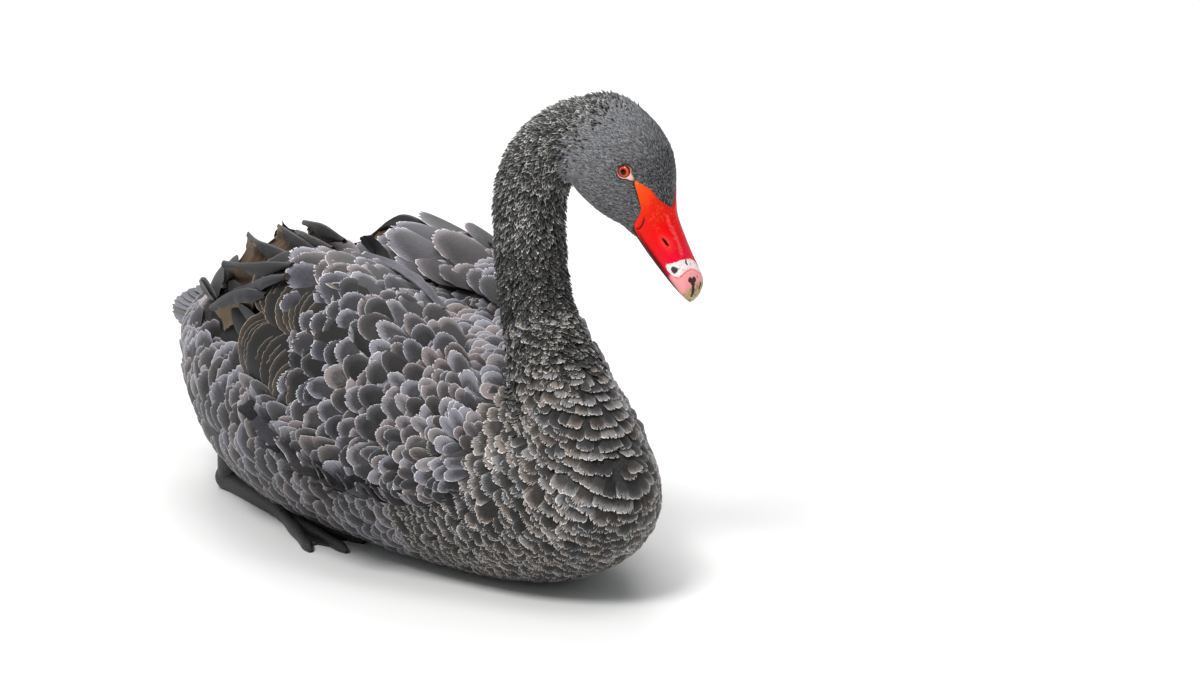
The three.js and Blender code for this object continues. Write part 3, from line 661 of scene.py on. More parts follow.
def down_head(local):
    """The way head feathers lie: back from the bill, parted by the eye and turned down behind the cheek."""
    run = np.stack([-np.ones(len(local)), 0.05 * np.sign(local[:, 1]), -0.22 + 0 * local[:, 0]], -1)
    run[:, 2] -= 0.9 * smooth(-local[:, 0], 20, 55)
    run = unit(run)
    off = local - EYE_MIDDLE * np.stack([1 + 0 * local[:, 0], np.sign(local[:, 1]), 1 + 0 * local[:, 0]], -1)
    off[:, 1] = 0
    away = np.maximum(np.linalg.norm(off, axis=1, keepdims=True), 3)
    beside = np.abs(local[:, 1:2]) > 14
    ratio = (5.6 / away) ** 2 * beside
    off = off / away
    flat = run * np.array([1.0, 0.0, 1.0])
    return unit(run * (1 + ratio) - 2 * ratio * np.sum(flat * off, -1, keepdims=True) * off)


rng = np.random.default_rng(3)
world, normals = scattered(np.nonzero(on_head_skin)[0], 2, rng)
local = into_head(world)
beside = np.abs(local[:, 1])
eye_off = np.linalg.norm((local - EYE_MIDDLE)[:, [0, 2]], axis=1) + 99 * (beside < 14)
behind_eye = (local[:, 0] < EYE_MIDDLE[0] - 1.5) & (eye_off > EYE_SHOWN - 0.5)
in_corner = np.abs(local[:, 2] - 2.2) < 1.6 - 0.16 * (local[:, 0] - 8)
in_corner &= (local[:, 0] > 5) & (local[:, 0] < 16) & (beside > 16)
keep = rng.uniform(0, 1, len(local)) < 1 - 0.75 * smooth(-local[:, 0], 30, 55)
keep &= ~bare_face(local) & ((eye_off > EYE_SHOWN + 0.6) | behind_eye) & ~in_corner
world, normals, local, eye_off = world[keep], normals[keep], local[keep], eye_off[keep]
total = len(world)
size = np.clip((40 - local[:, 0]) / 80, 0, 1)
near_eye = np.exp(-(((eye_off - 5.5) / 4) ** 2))
lengths = (2.5 + 3.2 * size) * (1 - 0.4 * near_eye) * rng.uniform(0.8, 1.25, total)
widths = (1.05 + 0.9 * size) * (1 - 0.2 * near_eye) * rng.uniform(0.8, 1.2, total)
headings = unit(down_head(local) @ HEAD_AXES.T + rng.normal(0, 0.11, world.shape))
lifts = (0.75 + 0.75 * size) * (1 - 0.4 * near_eye) * rng.uniform(0.5, 1.6, total)
spines = settle(world, normals, headings, lengths, 3, np.full(total, 0.35), lifts)
turn = np.arctan2(local[:, 1], local[:, 2] + 8) / (2 * np.pi) + 0.5
unwrap = unwrapped(turn, np.clip((local[:, 0] + 62) / 102, 0, 1))
velvet = [vane_shape(rng, [0, 0.5, 1], 3, 0.7, 0.04, 0.7) for _ in range(5)]
velvet_grey = vane_finish("head_velvet_feather", ["#060606", "#242423", "#5c5c60"], "#c0c1c4", 0.7, 0.5, 4.5,
                          0.75, 30.0, 0.8, tint_share=0.4, vary=0.75)
# Darkest before and over the eye and on the forehead, lightest behind the cheek and on the nape.
over_eye = np.exp(-(((local[:, 0] - 8) / 13) ** 2 + ((local[:, 2] - 8) / 9) ** 2))
pale = 0.2 + 0.25 * smooth(-local[:, 0], -20, 30) - 0.22 * over_eye
tones = np.clip(pale + 0.75 * rng.uniform(0, 1, total) ** 1.5, 0, 1)
head_coat = coat("head_feathers", spines, lengths, widths, velvet, rng, unwrap, cup=0.3,
                 tilt=rng.normal(0, 0.25, total), tone=tones)
dress(head_coat, velvet_grey, "head_feathers")

# Neck feathers
# Narrow, slightly shaggy feathers that lie down the neck in strands, near black with pale worn tips.
# They grow broader towards the breast.


def down_neck(points):
    """The way neck feathers lie: from the head to the body."""
    places = np.linspace(0, 11, 111)
    middles, ahead = neck_frame(places)[:2]
    nearest = np.argmin(((points[:, None] - middles[None]) ** 2).sum(-1), 1)
    return -ahead[nearest]


strands = vane_finish("neck_strand_feather", ["#030303", "#121211", "#3b3a36"], "#cdcbc8", 0.75, 0.9, 6.0,
                      0.6, 24.0, 0.8, vary=0.85)
# Each part's name, its seed, its places along the neck from and to, and how finely its vanes are cut.
NECK_PARTS = [("neck_feathers_upper", 5, 5.3, 11, [0, 0.6, 1], 5),
              ("neck_feathers_lower", 6, 1.2, 5.3, [0, 0.5, 0.85, 1], 7)]
for name, seed, low, high, steps, columns in NECK_PARTS:
    rng = np.random.default_rng(seed)
    chosen = on_neck_skin & (neck_places > low) & (neck_places <= high)
    if low > 2:
        chosen |= on_head_skin & (into_head(skin_middles)[:, 0] < -24)
    world, normals = scattered(np.nonzero(chosen)[0], 1, rng, 0.9)
    places, _ = neck_measure(world, 0)
    low_share = smooth(-world[:, 2], -215, -135)
    middles, _, fore, _, _ = neck_frame(places)
    behind = smooth(-((world - middles) * fore).sum(-1), 0, 16)
    keep = rng.uniform(0, 1, len(world)) < np.maximum(smooth(world[:, 2], 158, 206), 0.5 * behind)
    ahead = into_head(world)[:, 0]
    on_nape = (egg_measure(into_head(world), HEAD, 0) < 1.08) & (low > 2)
    keep &= off_wing(world, 4.5) & (~on_nape | (rng.uniform(0, 1, len(world)) < smooth(-ahead, 24, 50)))
    world, normals, places, low_share = world[keep], normals[keep], places[keep], low_share[keep]
    total = len(world)
    headings = unit(down_neck(world) + rng.normal(0, 0.14, world.shape))
    finer = 1 - 0.3 * smooth(places, 7.5, 10.5)
    lengths = (6.8 + 9 * low_share) * finer * rng.uniform(0.75, 1.3, total)
    widths = (3.2 + 5.0 * low_share) * finer * rng.uniform(0.75, 1.25, total)
    lifts = (2.5 + 0.8 * low_share) * rng.uniform(0.2, 1.0, total) ** 0.8 * 1.7
    spines = settle(world, normals, headings, lengths, 4, np.full(total, 0.6), lifts, 1.0)
    middles, _, fore, right, _ = neck_frame(places)
    off = world - middles
    turn = np.arctan2((off * right).sum(-1), -(off * fore).sum(-1)) / (2 * np.pi) + 0.5
    unwrap = unwrapped(turn, places / 11)
    shaggy = [vane_shape(rng, steps, columns, 0.42, 0.1, 0.5, taper=0.1) for _ in range(8)]
    tones = rng.uniform(0, 1, total) ** 1.4
    piece = coat(name, spines, lengths, widths, shaggy, rng, unwrap, cup=0.3, tilt=rng.normal(0, 0.3, total),
                 tone=tones)
    dress(piece, strands, "neck_feathers")

# Breast and body feathers
# Broad soft contour feathers in close rows: level rows down the breast, upright rows along the flanks.
# They are charcoal with a brown bloom, and their loose ends make thin ragged pale lines.
BREAST_PIVOT = np.array([120.0, 0.0, 178.0])
BREAST_ANGLES = (-34, 92)
# Heights on the side, and how much feathers rise there for each mm they run back.
SIDE_LIE = [[10, 45, 90, 130, 160], [-0.35, -0.05, 0.45, 0.5, 0.1]]


def cast(origin, directions):
    """Where rays from inside the bird come out through its skin."""
    start = Vector(origin)
    found = [skin_tree.ray_cast(start, Vector(direction))[0] for direction in directions]
    return np.array([at for at in found if at is not None])


def body_way(points):
    """The way body feathers lie: down the breast, round the belly's turn and back along the sides."""
    r = points - BREAST_PIVOT
    r[:, 0] = np.maximum(r[:, 0], 0)
    heading = unit(np.stack([r[:, 2], 0 * r[:, 0], -r[:, 0]], -1) + np.array([-1e-3, 0, 0]))
    behind = np.clip((100 - points[:, 0]) / 60, 0, 1)[:, None]
    back = np.stack([-np.ones(len(points)), 0 * points[:, 0], np.interp(points[:, 2], *SIDE_LIE)], -1)
    stern = np.clip((-150 - points[:, 0]) / 80, 0, 1)[:, None]
    back = unit(back + stern * np.array([0.0, 0.0, 0.3]) * (points[:, 2:] < 110))
    heading[points[:, 2] > BREAST_PIVOT[2]] = [-0.15, 0, -1]
    return unit(heading * (1 - behind) + back * behind)


rng = np.random.default_rng(7)
lines, fronts = [], []
degrees = BREAST_ANGLES[0]
while degrees < BREAST_ANGLES[1]:
    angle = math.radians(degrees)
    ahead = np.array([math.cos(angle), 0, -math.sin(angle)])
    front = cast(BREAST_PIVOT + ahead * 25, [ahead])[0]
    radius = np.linalg.norm(front - BREAST_PIVOT)
    turns = np.radians(np.linspace(-118, 118, 80))
    rays = np.cos(turns)[:, None] * ahead + np.sin(turns)[:, None] * np.array([0.0, 1.0, 0.0])
    lines.append(cast(BREAST_PIVOT + ahead * min(62, radius * 0.6), rays))
    fronts.append(radius)
    degrees += math.degrees(np.interp(front[2], [40, 90, 200], [7.6, 5.9, 4.3]) / radius)
breast_roots, breast_row, breast_part = arc_rows(lines, 8.2, rng)
near = np.linalg.norm((breast_roots - BREAST_PIVOT)[:, [0, 2]], axis=1) / np.array(fronts)[breast_row]
keep = rng.uniform(0, 1, len(near)) < np.clip(near * 1.08, 0.12, 1)
keep &= (breast_roots[:, 0] > BREAST_PIVOT[0] - 8) & off_wing(breast_roots, 3)
breast_roots, breast_row, breast_part = breast_roots[keep], breast_row[keep], breast_part[keep]
lines = []
x = BREAST_PIVOT[0] + 36
while x > -262:
    turns = np.linspace(-0.5 * np.pi, 1.5 * np.pi, 140)
    rays = np.stack([0 * turns, np.cos(turns), np.sin(turns)], -1)
    lines.append(cast((x, 0, 106 if x > -150 else 112), rays))
    x -= np.interp(x, [-200, -60, 80, 110], [9.5, 11.5, 8.0, 5.0])
side_roots, side_row, side_part = arc_rows(lines, 15.5, rng)
keep = (side_roots[:, 0] < BREAST_PIVOT[0]) | ((side_roots[:, 2] > 124) & (side_roots[:, 2] < 176))
# They end at the folded wing, and well short of it where its own row of flank feathers covers the join.
joins_wing = (side_roots[:, 0] < -30) & (side_roots[:, 0] > -165) & (side_roots[:, 2] > 116)
keep &= off_wing(side_roots, np.where(joins_wing, 30, np.where(side_roots[:, 2] < 100, -7, 3)))
side_roots, side_row, side_part = side_roots[keep], side_row[keep], side_part[keep]


def contour(name, roots, rows, parts, room, material, rounding, teeth, columns):
    """A coat of contour feathers on body roots, with room for length, width and lift by place."""
    world, normals = on_skin(roots)
    headings = unit(body_way(world) + rng.normal(0, 0.1, world.shape))
    lengths, widths, lifts = (values * rng.uniform(0.85, 1.15, len(world)) for values in room(world))
    spines = settle(world, normals, headings, lengths, 5, np.full(len(world), 1.2), lifts, 0.9, body_way, 0.3)
    unwrap = unwrapped(parts, rows / max(1, rows.max()))
    steps = [0, 0.4, 0.68, 0.86, 1]
    shapes = [vane_shape(rng, steps, columns, rounding, teeth, 0.45) for _ in range(10)]
    tilt = rng.normal(0, 0.09, len(world))
    # Painted shade: feathers are darker the lower they sit, towards the floor.
    tones = rng.uniform(0, 1, len(world)) * np.interp(world[:, 2], [10, 110], [0.3, 1.0])
    piece = coat(name, spines, lengths, widths, shapes, rng, unwrap, cup=0.2, tilt=tilt, tone=tones)
    return dress(piece, material, "body_feathers")


def breast_room(points):
    """Length, width and lift of breast feathers, smaller towards the neck."""
    upper = np.clip((points[:, 2] - 90) / 110, 0, 1)
    aside = np.clip(np.abs(points[:, 1]) / 80, 0, 1)
    return 18 - 6.5 * upper + 3 * aside, 15.5 - 7 * upper + 2 * aside, 3.9 - 0.8 * upper


def side_room(points):
    """Length, width and lift of the flanks' feathers, larger behind."""
    stern = np.clip((-160 - points[:, 0]) / 80, 0, 1)
    flank = np.clip((90 - points[:, 0]) / 130, -0.3, 1)
    return 25 + 17 * flank - 4 * stern, 22 + 15 * flank - 2 * stern, 4.4 + 2.2 * flank


breast_grey = vane_finish("breast_contour_feather", ["#0a0909", "#393736", "#8f8a87"], "#ece7e3", 1.1, 0.8,
                          7.5, 0.7, 35.0, 0.6, vary=0.45)
flank_grey = vane_finish("flank_contour_feather", ["#0d0c0e", "#434144", "#8f8c92"], "#d6d3d9", 1.5, 0.6,
                         12.0, 0.72, 45.0, 0.55, vary=0.4)
contour("breast_feathers", breast_roots, breast_row, breast_part, breast_room, breast_grey, 0.2, 0.08, 21)
contour("body_feathers", side_roots, side_row, side_part, side_room, flank_grey, 0.42, 0.03, 17)

# Wing feathers
# Folded wings: rows of broad coverts with pale toothed rims, long ones over the secondaries,
# large scapulars along the back, and the curled inner feathers that a black swan carries over its tail.


def section_length(place):
    """How long the wing's outer surface is from edge to edge at a place."""
    points = wing_point(np.full(30, place), np.linspace(0, 1, 30))
    return np.linalg.norm(np.diff(points, axis=0), axis=1).sum()


def wing_spines(place, up, length, slant, count, sink, lift, tilt):
    """Spines along the left wing's surface from their sunk roots, running straight on past its edges."""
    total = len(place)
    given = (np.broadcast_to(v, total).astype(float) for v in (place, up, length, slant, lift, tilt))
    place, up, length, slant, lift, tilt = given
    stride = length / (count - 1)
    at, run, out = (np.zeros((total, 3)) for _ in range(3))
    places, runs, outs = [], [], []
    step = 0.02
    for i in range(count):
        held = (place < len(WING) - 1.1) & (up > -0.2)
        back = wing_point(place + step, up) - wing_point(place - step, up)
        down = wing_point(place, up - step) - wing_point(place, up + step)
        normal = unit(np.cross(back, down))
        normal *= np.sign(normal @ np.array([0.0, 0.8, 0.5]))[:, None]
        height = -sink + (lift + sink) * (i / (count - 1)) ** 0.7
        laid = wing_point(place, up) + normal * height[:, None]
        at = np.where(held[:, None], laid, at + run * stride[:, None])
        way = unit(back) * np.cos(slant)[:, None] + unit(down) * np.sin(slant)[:, None]
        run = unit(np.where(held[:, None], way, run))
        out = unit(np.where(held[:, None], normal, out))
        place = place + np.where(held, np.cos(slant) * stride * 2 * step / np.linalg.norm(back, axis=1), 0)
        up = up - np.where(held, np.sin(slant) * stride * 2 * step / np.linalg.norm(down, axis=1), 0)
        places.append(at)
        runs.append(run)
        outs.append(out * np.cos(tilt)[:, None] + np.cross(run, out) * np.sin(tilt)[:, None])
    return np.stack(places, 1), np.stack(runs, 1), np.stack(outs, 1)


def both_sides(spines, side):
    """The left wing's spines where that wing hangs, or the same spines on the right."""
    places, runs, outs = spines
    if side == "left":
        zero = dipped(np.zeros((1, 3)))
        return dipped(places), dipped(runs) - zero, dipped(outs) - zero
    return mirrored(places), mirrored(runs), mirrored(outs)


def wing_rows(places, low, high, room, rng):
    """Roots in rows over the wing from one height on it to another."""
    at, ups = [], []
    for k, place in enumerate(places):
        size = room(place) if callable(room) else room
        count = max(1, int(round((high - low) * section_length(place) / size)))
        ups.append(low + (high - low) * row_marks(k, count, 0.15, rng))
        at.append(place + rng.uniform(-0.06, 0.06, count))
    return np.concatenate(at), np.concatenate(ups)


covert_grey = vane_finish("wing_covert_feather", ["#0b0a0b", "#3b393c", "#8a868b"], "#eceaee", 1.2, 0.75, 9.0,
                          0.64, 26.0, 0.4, vary=0.5)
greater_grey = vane_finish("greater_covert_feather", ["#0c0c0e", "#3a3a40", "#85848c"], "#f0f4fa", 1.6, 0.95,
                           12.0, 0.62, 30.0, 0.4)
scapular_grey = vane_finish("scapular_feather", ["#131215", "#4a474c", "#908b93"], "#f4f0f4", 1.7, 0.95, 14.0,
                            0.62, 40.0, 0.4)
secondary_brown = vane_finish("secondary_feather", ["#080706", "#1a1613", "#40372f"], "#b5a596", 0.9, 0.8,
                              9.0, 0.6, 40.0, 0.35)
flight_black = vane_finish("flight_feather", ["#040404", "#101011", "#262528"], "#5f574f", 1.0, 0.5, 16.0,
                           0.55, 40.0, 0.35)
tertial_black = vane_finish("curled_tertial_feather", ["#020202", "#0b0b0c", "#222126"], "#5a5551", 1.0, 0.2,
                            30.0, 0.6, 30.0, 0.4, [(0.1, "#120d09"), (0.45, "#3d2f23"), (0.8, "#6d5740")])
# The photograph's camera: where it stands and looks, in mm, and its picture's middle and focus, in pixels.
CAMERA_AZIMUTH, CAMERA_HEIGHT = math.radians(55), math.radians(15)
CAMERA_WAY = np.array([math.sin(CAMERA_AZIMUTH) * math.cos(CAMERA_HEIGHT),
                       -math.cos(CAMERA_AZIMUTH) * math.cos(CAMERA_HEIGHT), math.sin(CAMERA_HEIGHT)])
CAMERA_AWAY, LOOK_AT = 7200.0, np.array([217.1, 8.8, 194.7])
PHOTO_MIDDLE, PHOTO_FOCUS = (600, 337.5), 9936
# Curled inner feathers of the right wing, each rolled over its own upper edge. First how far out from the
# bird's middle its ridge lies at root and tip, then at four places from root to tip the pixels of three
# points: its rolled ridge, the dark edge that hangs in front of it and the brown inner vane behind.
CURLED_FEATHERS = [
    [68, 66, (291, 251, 291, 259, 290, 263), (268, 244.5, 269, 258.5, 264, 264),
     (257, 240, 260, 250, 249, 265), (248.5, 233.5, 250, 239, 235.5, 263)],
    [84, 80, (290, 259, 290, 269, 288, 274), (260, 262.5, 258, 277, 256, 283),
     (238, 264.5, 242, 269, 235, 292), (223, 262, 225, 269, 226.5, 281)],
    [94, 90, (284, 270, 280, 282, 279, 287), (262, 279, 262, 290, 260, 297),
     (247, 286, 250, 296, 248, 306), (234, 290.5, 238, 294, 245, 315)],
    [52, 48, (318, 249, 302, 253, 300, 256), (300, 238, 293, 249, 286, 253),
     (288, 231, 287, 240, 274, 249), (278.5, 225, 280.5, 229, 267, 243)],
    [42, 38, (330, 243, 324, 251, 322, 254), (314, 238, 314, 248, 312, 250),
     (304, 233, 306, 240, 308, 244), (296, 231, 298, 233, 301, 238)],
    [30, 26, (342, 235, 334, 244, 332, 247), (324, 226, 320, 237, 316, 240),
     (313, 223, 314, 230, 309, 233), (303.5, 221.5, 305, 225, 306, 229)],
    [100, 94, (264, 290, 262, 304, 262, 310), (246, 289, 246, 303, 244, 316),
     (228, 294, 230, 306, 230, 324), (210, 306, 213, 311, 223, 330)],
]
# How much further out than the ridge each of the three points lies, in mm.
CURL_OUT = [0, 5, -4]
# How they are moved on each wing.
CURLED_SHIFT = {"left": (0, 0, -24), "right": (0, 0, 0)}
# One thin curled scapular lies along each wing's upper edge.
CURLED_SCAPULARS = {
    "left": [-46, 59, 211, -46, 62, 205, -50, 52, 207, -76, 57, 215, -74, 62, 206, -80, 48, 207,
             -100, 48, 218, -98, 56, 207, -104, 40, 208, -108, 26, 203, -100, 34, 198, -108, 20, 196],
    "right": [66, 28, 192, 65, 30, 190, 64, 26, 190, 30, 23, 202, 30, 26, 200, 29, 20, 200,
              -12, 18, 206, -11, 22, 203, -14, 14, 203, -54, 15, 204, -52, 18, 202, -55, 12, 202],
}
CURLED_THICK, CURLED_ROWS, CURLED_COLUMNS = 0.5, 19, 17


def curled_lines(root_out, tip_out, *stations):
    """A curled feather's points, to a mm, on the left wing's side, from the pixels where they show."""
    right = np.array([math.cos(CAMERA_AZIMUTH), math.sin(CAMERA_AZIMUTH), 0.0])
    across, down = np.moveaxis((np.reshape(stations, (4, 3, 2)) - PHOTO_MIDDLE) / PHOTO_FOCUS, -1, 0)
    rays = right * across[..., None] - np.cross(CAMERA_WAY, right) * down[..., None] - CAMERA_WAY
    eye = LOOK_AT + CAMERA_WAY * CAMERA_AWAY
    out = np.linspace(root_out, tip_out, 4)[:, None] + CURL_OUT
    return np.round(mirrored(eye + rays * ((-out - eye[1]) / rays[..., 1])[..., None]))


def rolled_vanes(name, table, side, rng, shift=(0, 0, 0)):
    """Curled feathers as two sheets each, the upper face dark and the lower one brown."""
    rows, columns = CURLED_ROWS, CURLED_COLUMNS
    points, faces, baked, vane, rims, shades, unders = [], [], [], [], [], [], []
    for k, feather in enumerate(table):
        lines = row_at(np.reshape(feather, (4, 9)), np.linspace(0, 3, rows)).reshape(rows, 3, 3)
        narrow = 0.8 * (1 - smooth(np.linspace(0, 1, rows), 0, 0.3))[:, None, None]
        lines += (lines[:, 0:1] - [0, 3, 5] - lines) * narrow
        ridge, front, back = lines[:, 0:1], lines[:, 1:2], lines[:, 2:3]
        wave = rng.normal(0, 0.9, (rows, 1, 3))
        back, front = back + wave, front + wave[::-1] * 0.4
        s = np.linspace(0, 1, columns)[None, :, None]
        behind, before = np.clip(s / 0.55, 0, 1), np.clip((s - 0.55) / 0.45, 0, 1)
        outward = np.array([0.0, 1.0, 0.15])
        sheet = np.where(s < 0.55, back + (ridge - back) * behind, ridge + (front - ridge) * before)
        bulge = 2.2 * np.sin(np.pi * before) - 3.0 * np.sin(np.pi * behind) - 1.5 * (s < 0.3)
        sheet = sheet + outward * bulge
        sheet[:, :, 2] += 1.2 * np.exp(-(((s[..., 0] - 0.55) / 0.12) ** 2))
        normal = unit(np.cross(np.gradient(sheet, axis=0), np.gradient(sheet, axis=1)))
        normal *= np.sign((normal[:, -3:, 1].mean()))
        sheet += shift
        gaps = [np.linalg.norm(np.diff(sheet, axis=way), axis=-1) for way in (1, 0)]
        across = np.concatenate([np.zeros((rows, 1)), gaps[0].cumsum(1)], 1)
        along = np.concatenate([np.zeros((1, columns)), gaps[1].cumsum(0)])
        free = np.minimum(np.minimum(across, across[:, -1:] - across), along[-1:] - along)
        flat = np.stack([across - across[:, -1:] * 0.4, along], -1)
        patch = np.stack([across / across.max(), along / along.max()], -1) * 0.003
        for under in (0, 1):
            faces.append(grid_faces(rows, columns)[:, :: 1 - 2 * under] + sum(len(p) for p in points))
            points.append((sheet + normal * CURLED_THICK * (0.5 - under)).reshape(-1, 3))
            baked.append((np.array([0.6, 0.1 + 0.8 * k / len(table)]) + patch).reshape(-1, 2))
            vane.append(flat.reshape(-1, 2) / 10)
            rims.append(np.minimum(free, 30).ravel() / 10)
            shades.append(np.full(rows * columns, rng.uniform(0, 1) if not under else shades[-1][0]))
            unders.append(np.full(rows * columns, float(under)))
    points = [dipped(p) if side == "left" else mirrored(p) for p in points]
    return vane_mesh(name, points, faces, baked, vane, edge=rims, tone=shades, under=unders)


# Long dark flight feathers lie deeper than the curled ones: how far under the folded wing's outline, in mm.
FLIGHT_DEEP = -12.0
# Scapulars and the longest coverts, one by one: root's place and height on the wing, length, width, slant.
LONG_SCAPULARS = [
    [3.5, 0.99, 62, 33, 0], [3.45, 0.86, 60, 32, 2], [3.6, 0.76, 60, 30, 4], [3.9, 0.95, 64, 34, 0],
    [4.1, 0.82, 62, 31, 4], [4.3, 0.99, 62, 32, 0], [4.25, 0.7, 56, 27, 6], [4.6, 0.88, 60, 28, 4],
    [3.9, 0.64, 58, 26, 10], [3.85, 0.56, 56, 24, 12], [4.9, 0.98, 58, 26, 0], [3.3, 0.68, 58, 28, 8],
]
# The same for the great ones over the back's edge, which stand proud on the left wing.
RAISED_SCAPULARS = [
    [3.7, 0.8, 80, 35, 2], [3.9, 0.68, 72, 33, 5], [3.6, 0.93, 76, 33, 0], [3.45, 0.7, 62, 31, 4],
    [3.2, 0.84, 58, 30, 2],
]
# How far back they stand on each wing, and how high they lift.
RAISED_HERE = {"left": (0.4, 15.0), "right": (0.0, 4.0)}
# Places along the wing, and there how far one row of coverts shows past the next, in places, and their sizes.
COVERT_SHOWN = [[0, 1, 1.6, 2.2, 3.4], [0.21, 0.2, 0.17, 0.135, 0.165]]
COVERT_LENGTH = [[0, 1, 2, 2.6, 3.4], [19, 20, 25, 33, 43]]
COVERT_WIDTH = [[0, 1, 2, 2.6, 3.4], [10.5, 11.5, 15, 20, 26]]
# Parts of a wing feather's length at which its vane is drawn, closer towards its end.
VANE_STEPS = [0, 0.3, 0.52, 0.7, 0.84, 0.94, 1]
# Rows along the wing's lower edge that cover its join with the flank: height on the wing and lift.
FLANK_EDGES = [(-0.36, 5.0), (-0.26, 7.0), (-0.16, 8.0), (-0.06, 8.5), (0.05, 7.5)]
for side, seed in (("left", 11), ("right", 12)):
    rng = np.random.default_rng(seed)

    def wing_coat(name, place, up, length, width, slant, lift, material, slot="wing_feathers", columns=25,
                  rounding=0.45, teeth=0.035, root=0.45, count=7, sink=3.0, cup=0.2, loose=0.05, pale=0.0,
                  tilt=0.0):
        """One kind of feather on this wing, from its roots and its sizes."""
        total = len(place)
        length = length * rng.uniform(1 - 1.6 * loose, 1 + 1.6 * loose, total)
        width = width * rng.uniform(1 - 1.6 * loose, 1 + 1.6 * loose, total)
        slant = slant + rng.normal(0, loose, total)
        lift = lift * rng.uniform(0.85, 1.2, total)
        spines = both_sides(wing_spines(place, up, length, slant, count, sink, lift, tilt), side)
        shapes = [vane_shape(rng, VANE_STEPS, columns, rounding, teeth, root) for _ in range(8)]
        tones = np.clip(rng.uniform(0, 1, total) + pale * (up - 0.5), 0, 1)
        unwrap = unwrapped(np.clip(place / 8, 0, 1), np.clip(up, 0, 1))
        piece = coat(f"{name}_{side}", spines, length, width, shapes, rng, unwrap, cup, tone=tones)
        return dress(piece, material, slot)

    rows = [0.04]
    while rows[-1] < 3.3:
        rows.append(rows[-1] + np.interp(rows[-1], *COVERT_SHOWN))
    place, up = wing_rows(rows, 0.02, 0.99, lambda p: 0.74 * np.interp(p, *COVERT_WIDTH), rng)
    length, width = np.interp(place, *COVERT_LENGTH), np.interp(place, *COVERT_WIDTH)
    coverts = wing_coat("wing_coverts", place, up, length, width, np.radians(24 - 20 * up), 4.2, covert_grey,
                        columns=29, loose=0.13, pale=0.45)
    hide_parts(f"wing_{side}")
    place, up = wing_rows([2.95, 3.15], 0.05, 0.72, 20, rng)
    wing_coat("greater_coverts", place, up, 60.0, 26.0, np.radians(26.0), 4.6, greater_grey)
    place, up, length, width, slant = np.array(LONG_SCAPULARS).T
    wing_coat("scapulars", place, up, length, width, np.radians(slant), 5.4, scapular_grey)
    place, up, length, width, slant = np.array(RAISED_SCAPULARS).T
    shift, lift = RAISED_HERE[side]
    wing_coat("raised_scapulars", place + shift, up, length, width, np.radians(slant), lift, scapular_grey,
              count=9, cup=0.3)
    place = np.concatenate([np.arange(2.75, 4.45, 0.13), np.arange(2.9, 4.3, 0.13)])
    up = np.repeat([0.64, 0.42], [14, len(place) - 14])
    wing_coat("secondaries", place, up, 74.0, 56.0, np.radians(24.0), 3.0, secondary_brown, teeth=0.012)
    place, up = wing_rows(np.arange(3.9, 7.5, 0.33), 0.2, 0.99, 21, rng)
    wing_coat("flight_feathers", place, up, 84.0 - 5 * (place - 4), 31.0, np.radians(6 - 14 * up),
              FLIGHT_DEEP, flight_black, sink=22.0, teeth=0.008, rounding=0.6)
    table = [curled_lines(*feather) for feather in CURLED_FEATHERS]
    piece = rolled_vanes(f"curled_tertials_{side}", table, side, rng, CURLED_SHIFT[side])
    dress(piece, tertial_black, "wing_feathers")
    piece = rolled_vanes(f"curled_scapular_{side}", [CURLED_SCAPULARS[side]], side, rng)
    dress(piece, tertial_black if side == "left" else scapular_grey, "wing_feathers")
    for k, (high, lift) in enumerate(FLANK_EDGES):
        place = np.arange(2.3 + 0.1 * k, 5.2 - 0.25 * k, 0.22)
        wing_coat(f"flank_edge_{k}", place, np.full(len(place), high), 46.0, 32.0, np.radians(-22.0), lift,
                  flank_grey, "body_feathers", teeth=0.018, rounding=0.62, root=0.2, sink=6.0)
    place, up = np.full(4, 6.4), np.linspace(0.1, 0.5, 4)
    wing_coat("primaries", place, up, 78.0, 27.0, 0.0, 1.6, secondary_brown, tilt=math.radians(18))

# Tail feathers
# A short rounded fan of dark stiff feathers behind, held level over the stern.
# They overlap, with the middle one on top, and the outer ones are shorter.
TAIL_COUNT, TAIL_WIDTH, TAIL_START, TAIL_ACROSS = 17, 32.0, -224.0, 26.0
TAIL_TURN, TAIL_HEIGHT, TAIL_FALL, TAIL_DROOP = math.radians(23), 126, 10, 0.04
rng = np.random.default_rng(21)


def tail_spines(aside, length, count=6):
    """Straight spines that fan out from the stern, from -1 on the right to 1 on the left."""
    angle = aside * TAIL_TURN
    run = unit(np.stack([-np.cos(angle), np.sin(angle), 0 * angle - TAIL_DROOP], -1))
    height = TAIL_HEIGHT - TAIL_FALL * np.abs(aside)
    start = np.stack([0 * aside + TAIL_START, aside * TAIL_ACROSS, height], -1)
    parts = np.linspace(0, 1, count)
    places = start[:, None] + run[:, None] * (parts[None, :, None] * length[:, None, None])
    out = np.array([0.0, 0.0, 1.0]) + 0.25 * aside[:, None] * np.array([0.0, 1.0, 0.0])
    out = unit(out - run * np.sum(out * run, -1, keepdims=True))
    spread = (len(aside), count, 3)
    return places, np.broadcast_to(run[:, None], spread), np.broadcast_to(out[:, None], spread)


aside = np.linspace(-1, 1, TAIL_COUNT)
length = 84 - 38 * aside**2
shapes = [vane_shape(rng, [0, 0.25, 0.5, 0.7, 0.85, 0.95, 1], 15, 0.55, 0.02, 0.6) for _ in range(6)]
spines = tail_spines(aside, length)
unwrap = np.stack([0.5 + 0.4 * aside, 0 * aside + 0.6], -1)
width = np.full(TAIL_COUNT, TAIL_WIDTH)
tail_piece = coat("tail_feathers", spines, length, width, shapes, rng, unwrap, cup=0.05)
tail_grey = vane_finish("tail_feather", ["#141416", "#37373b", "#616066"], "#8b8a90", 1.5, 0.5, 20.0,
                        0.6, 50.0)
dress(tail_piece, tail_grey, "tail_feathers", "tail")
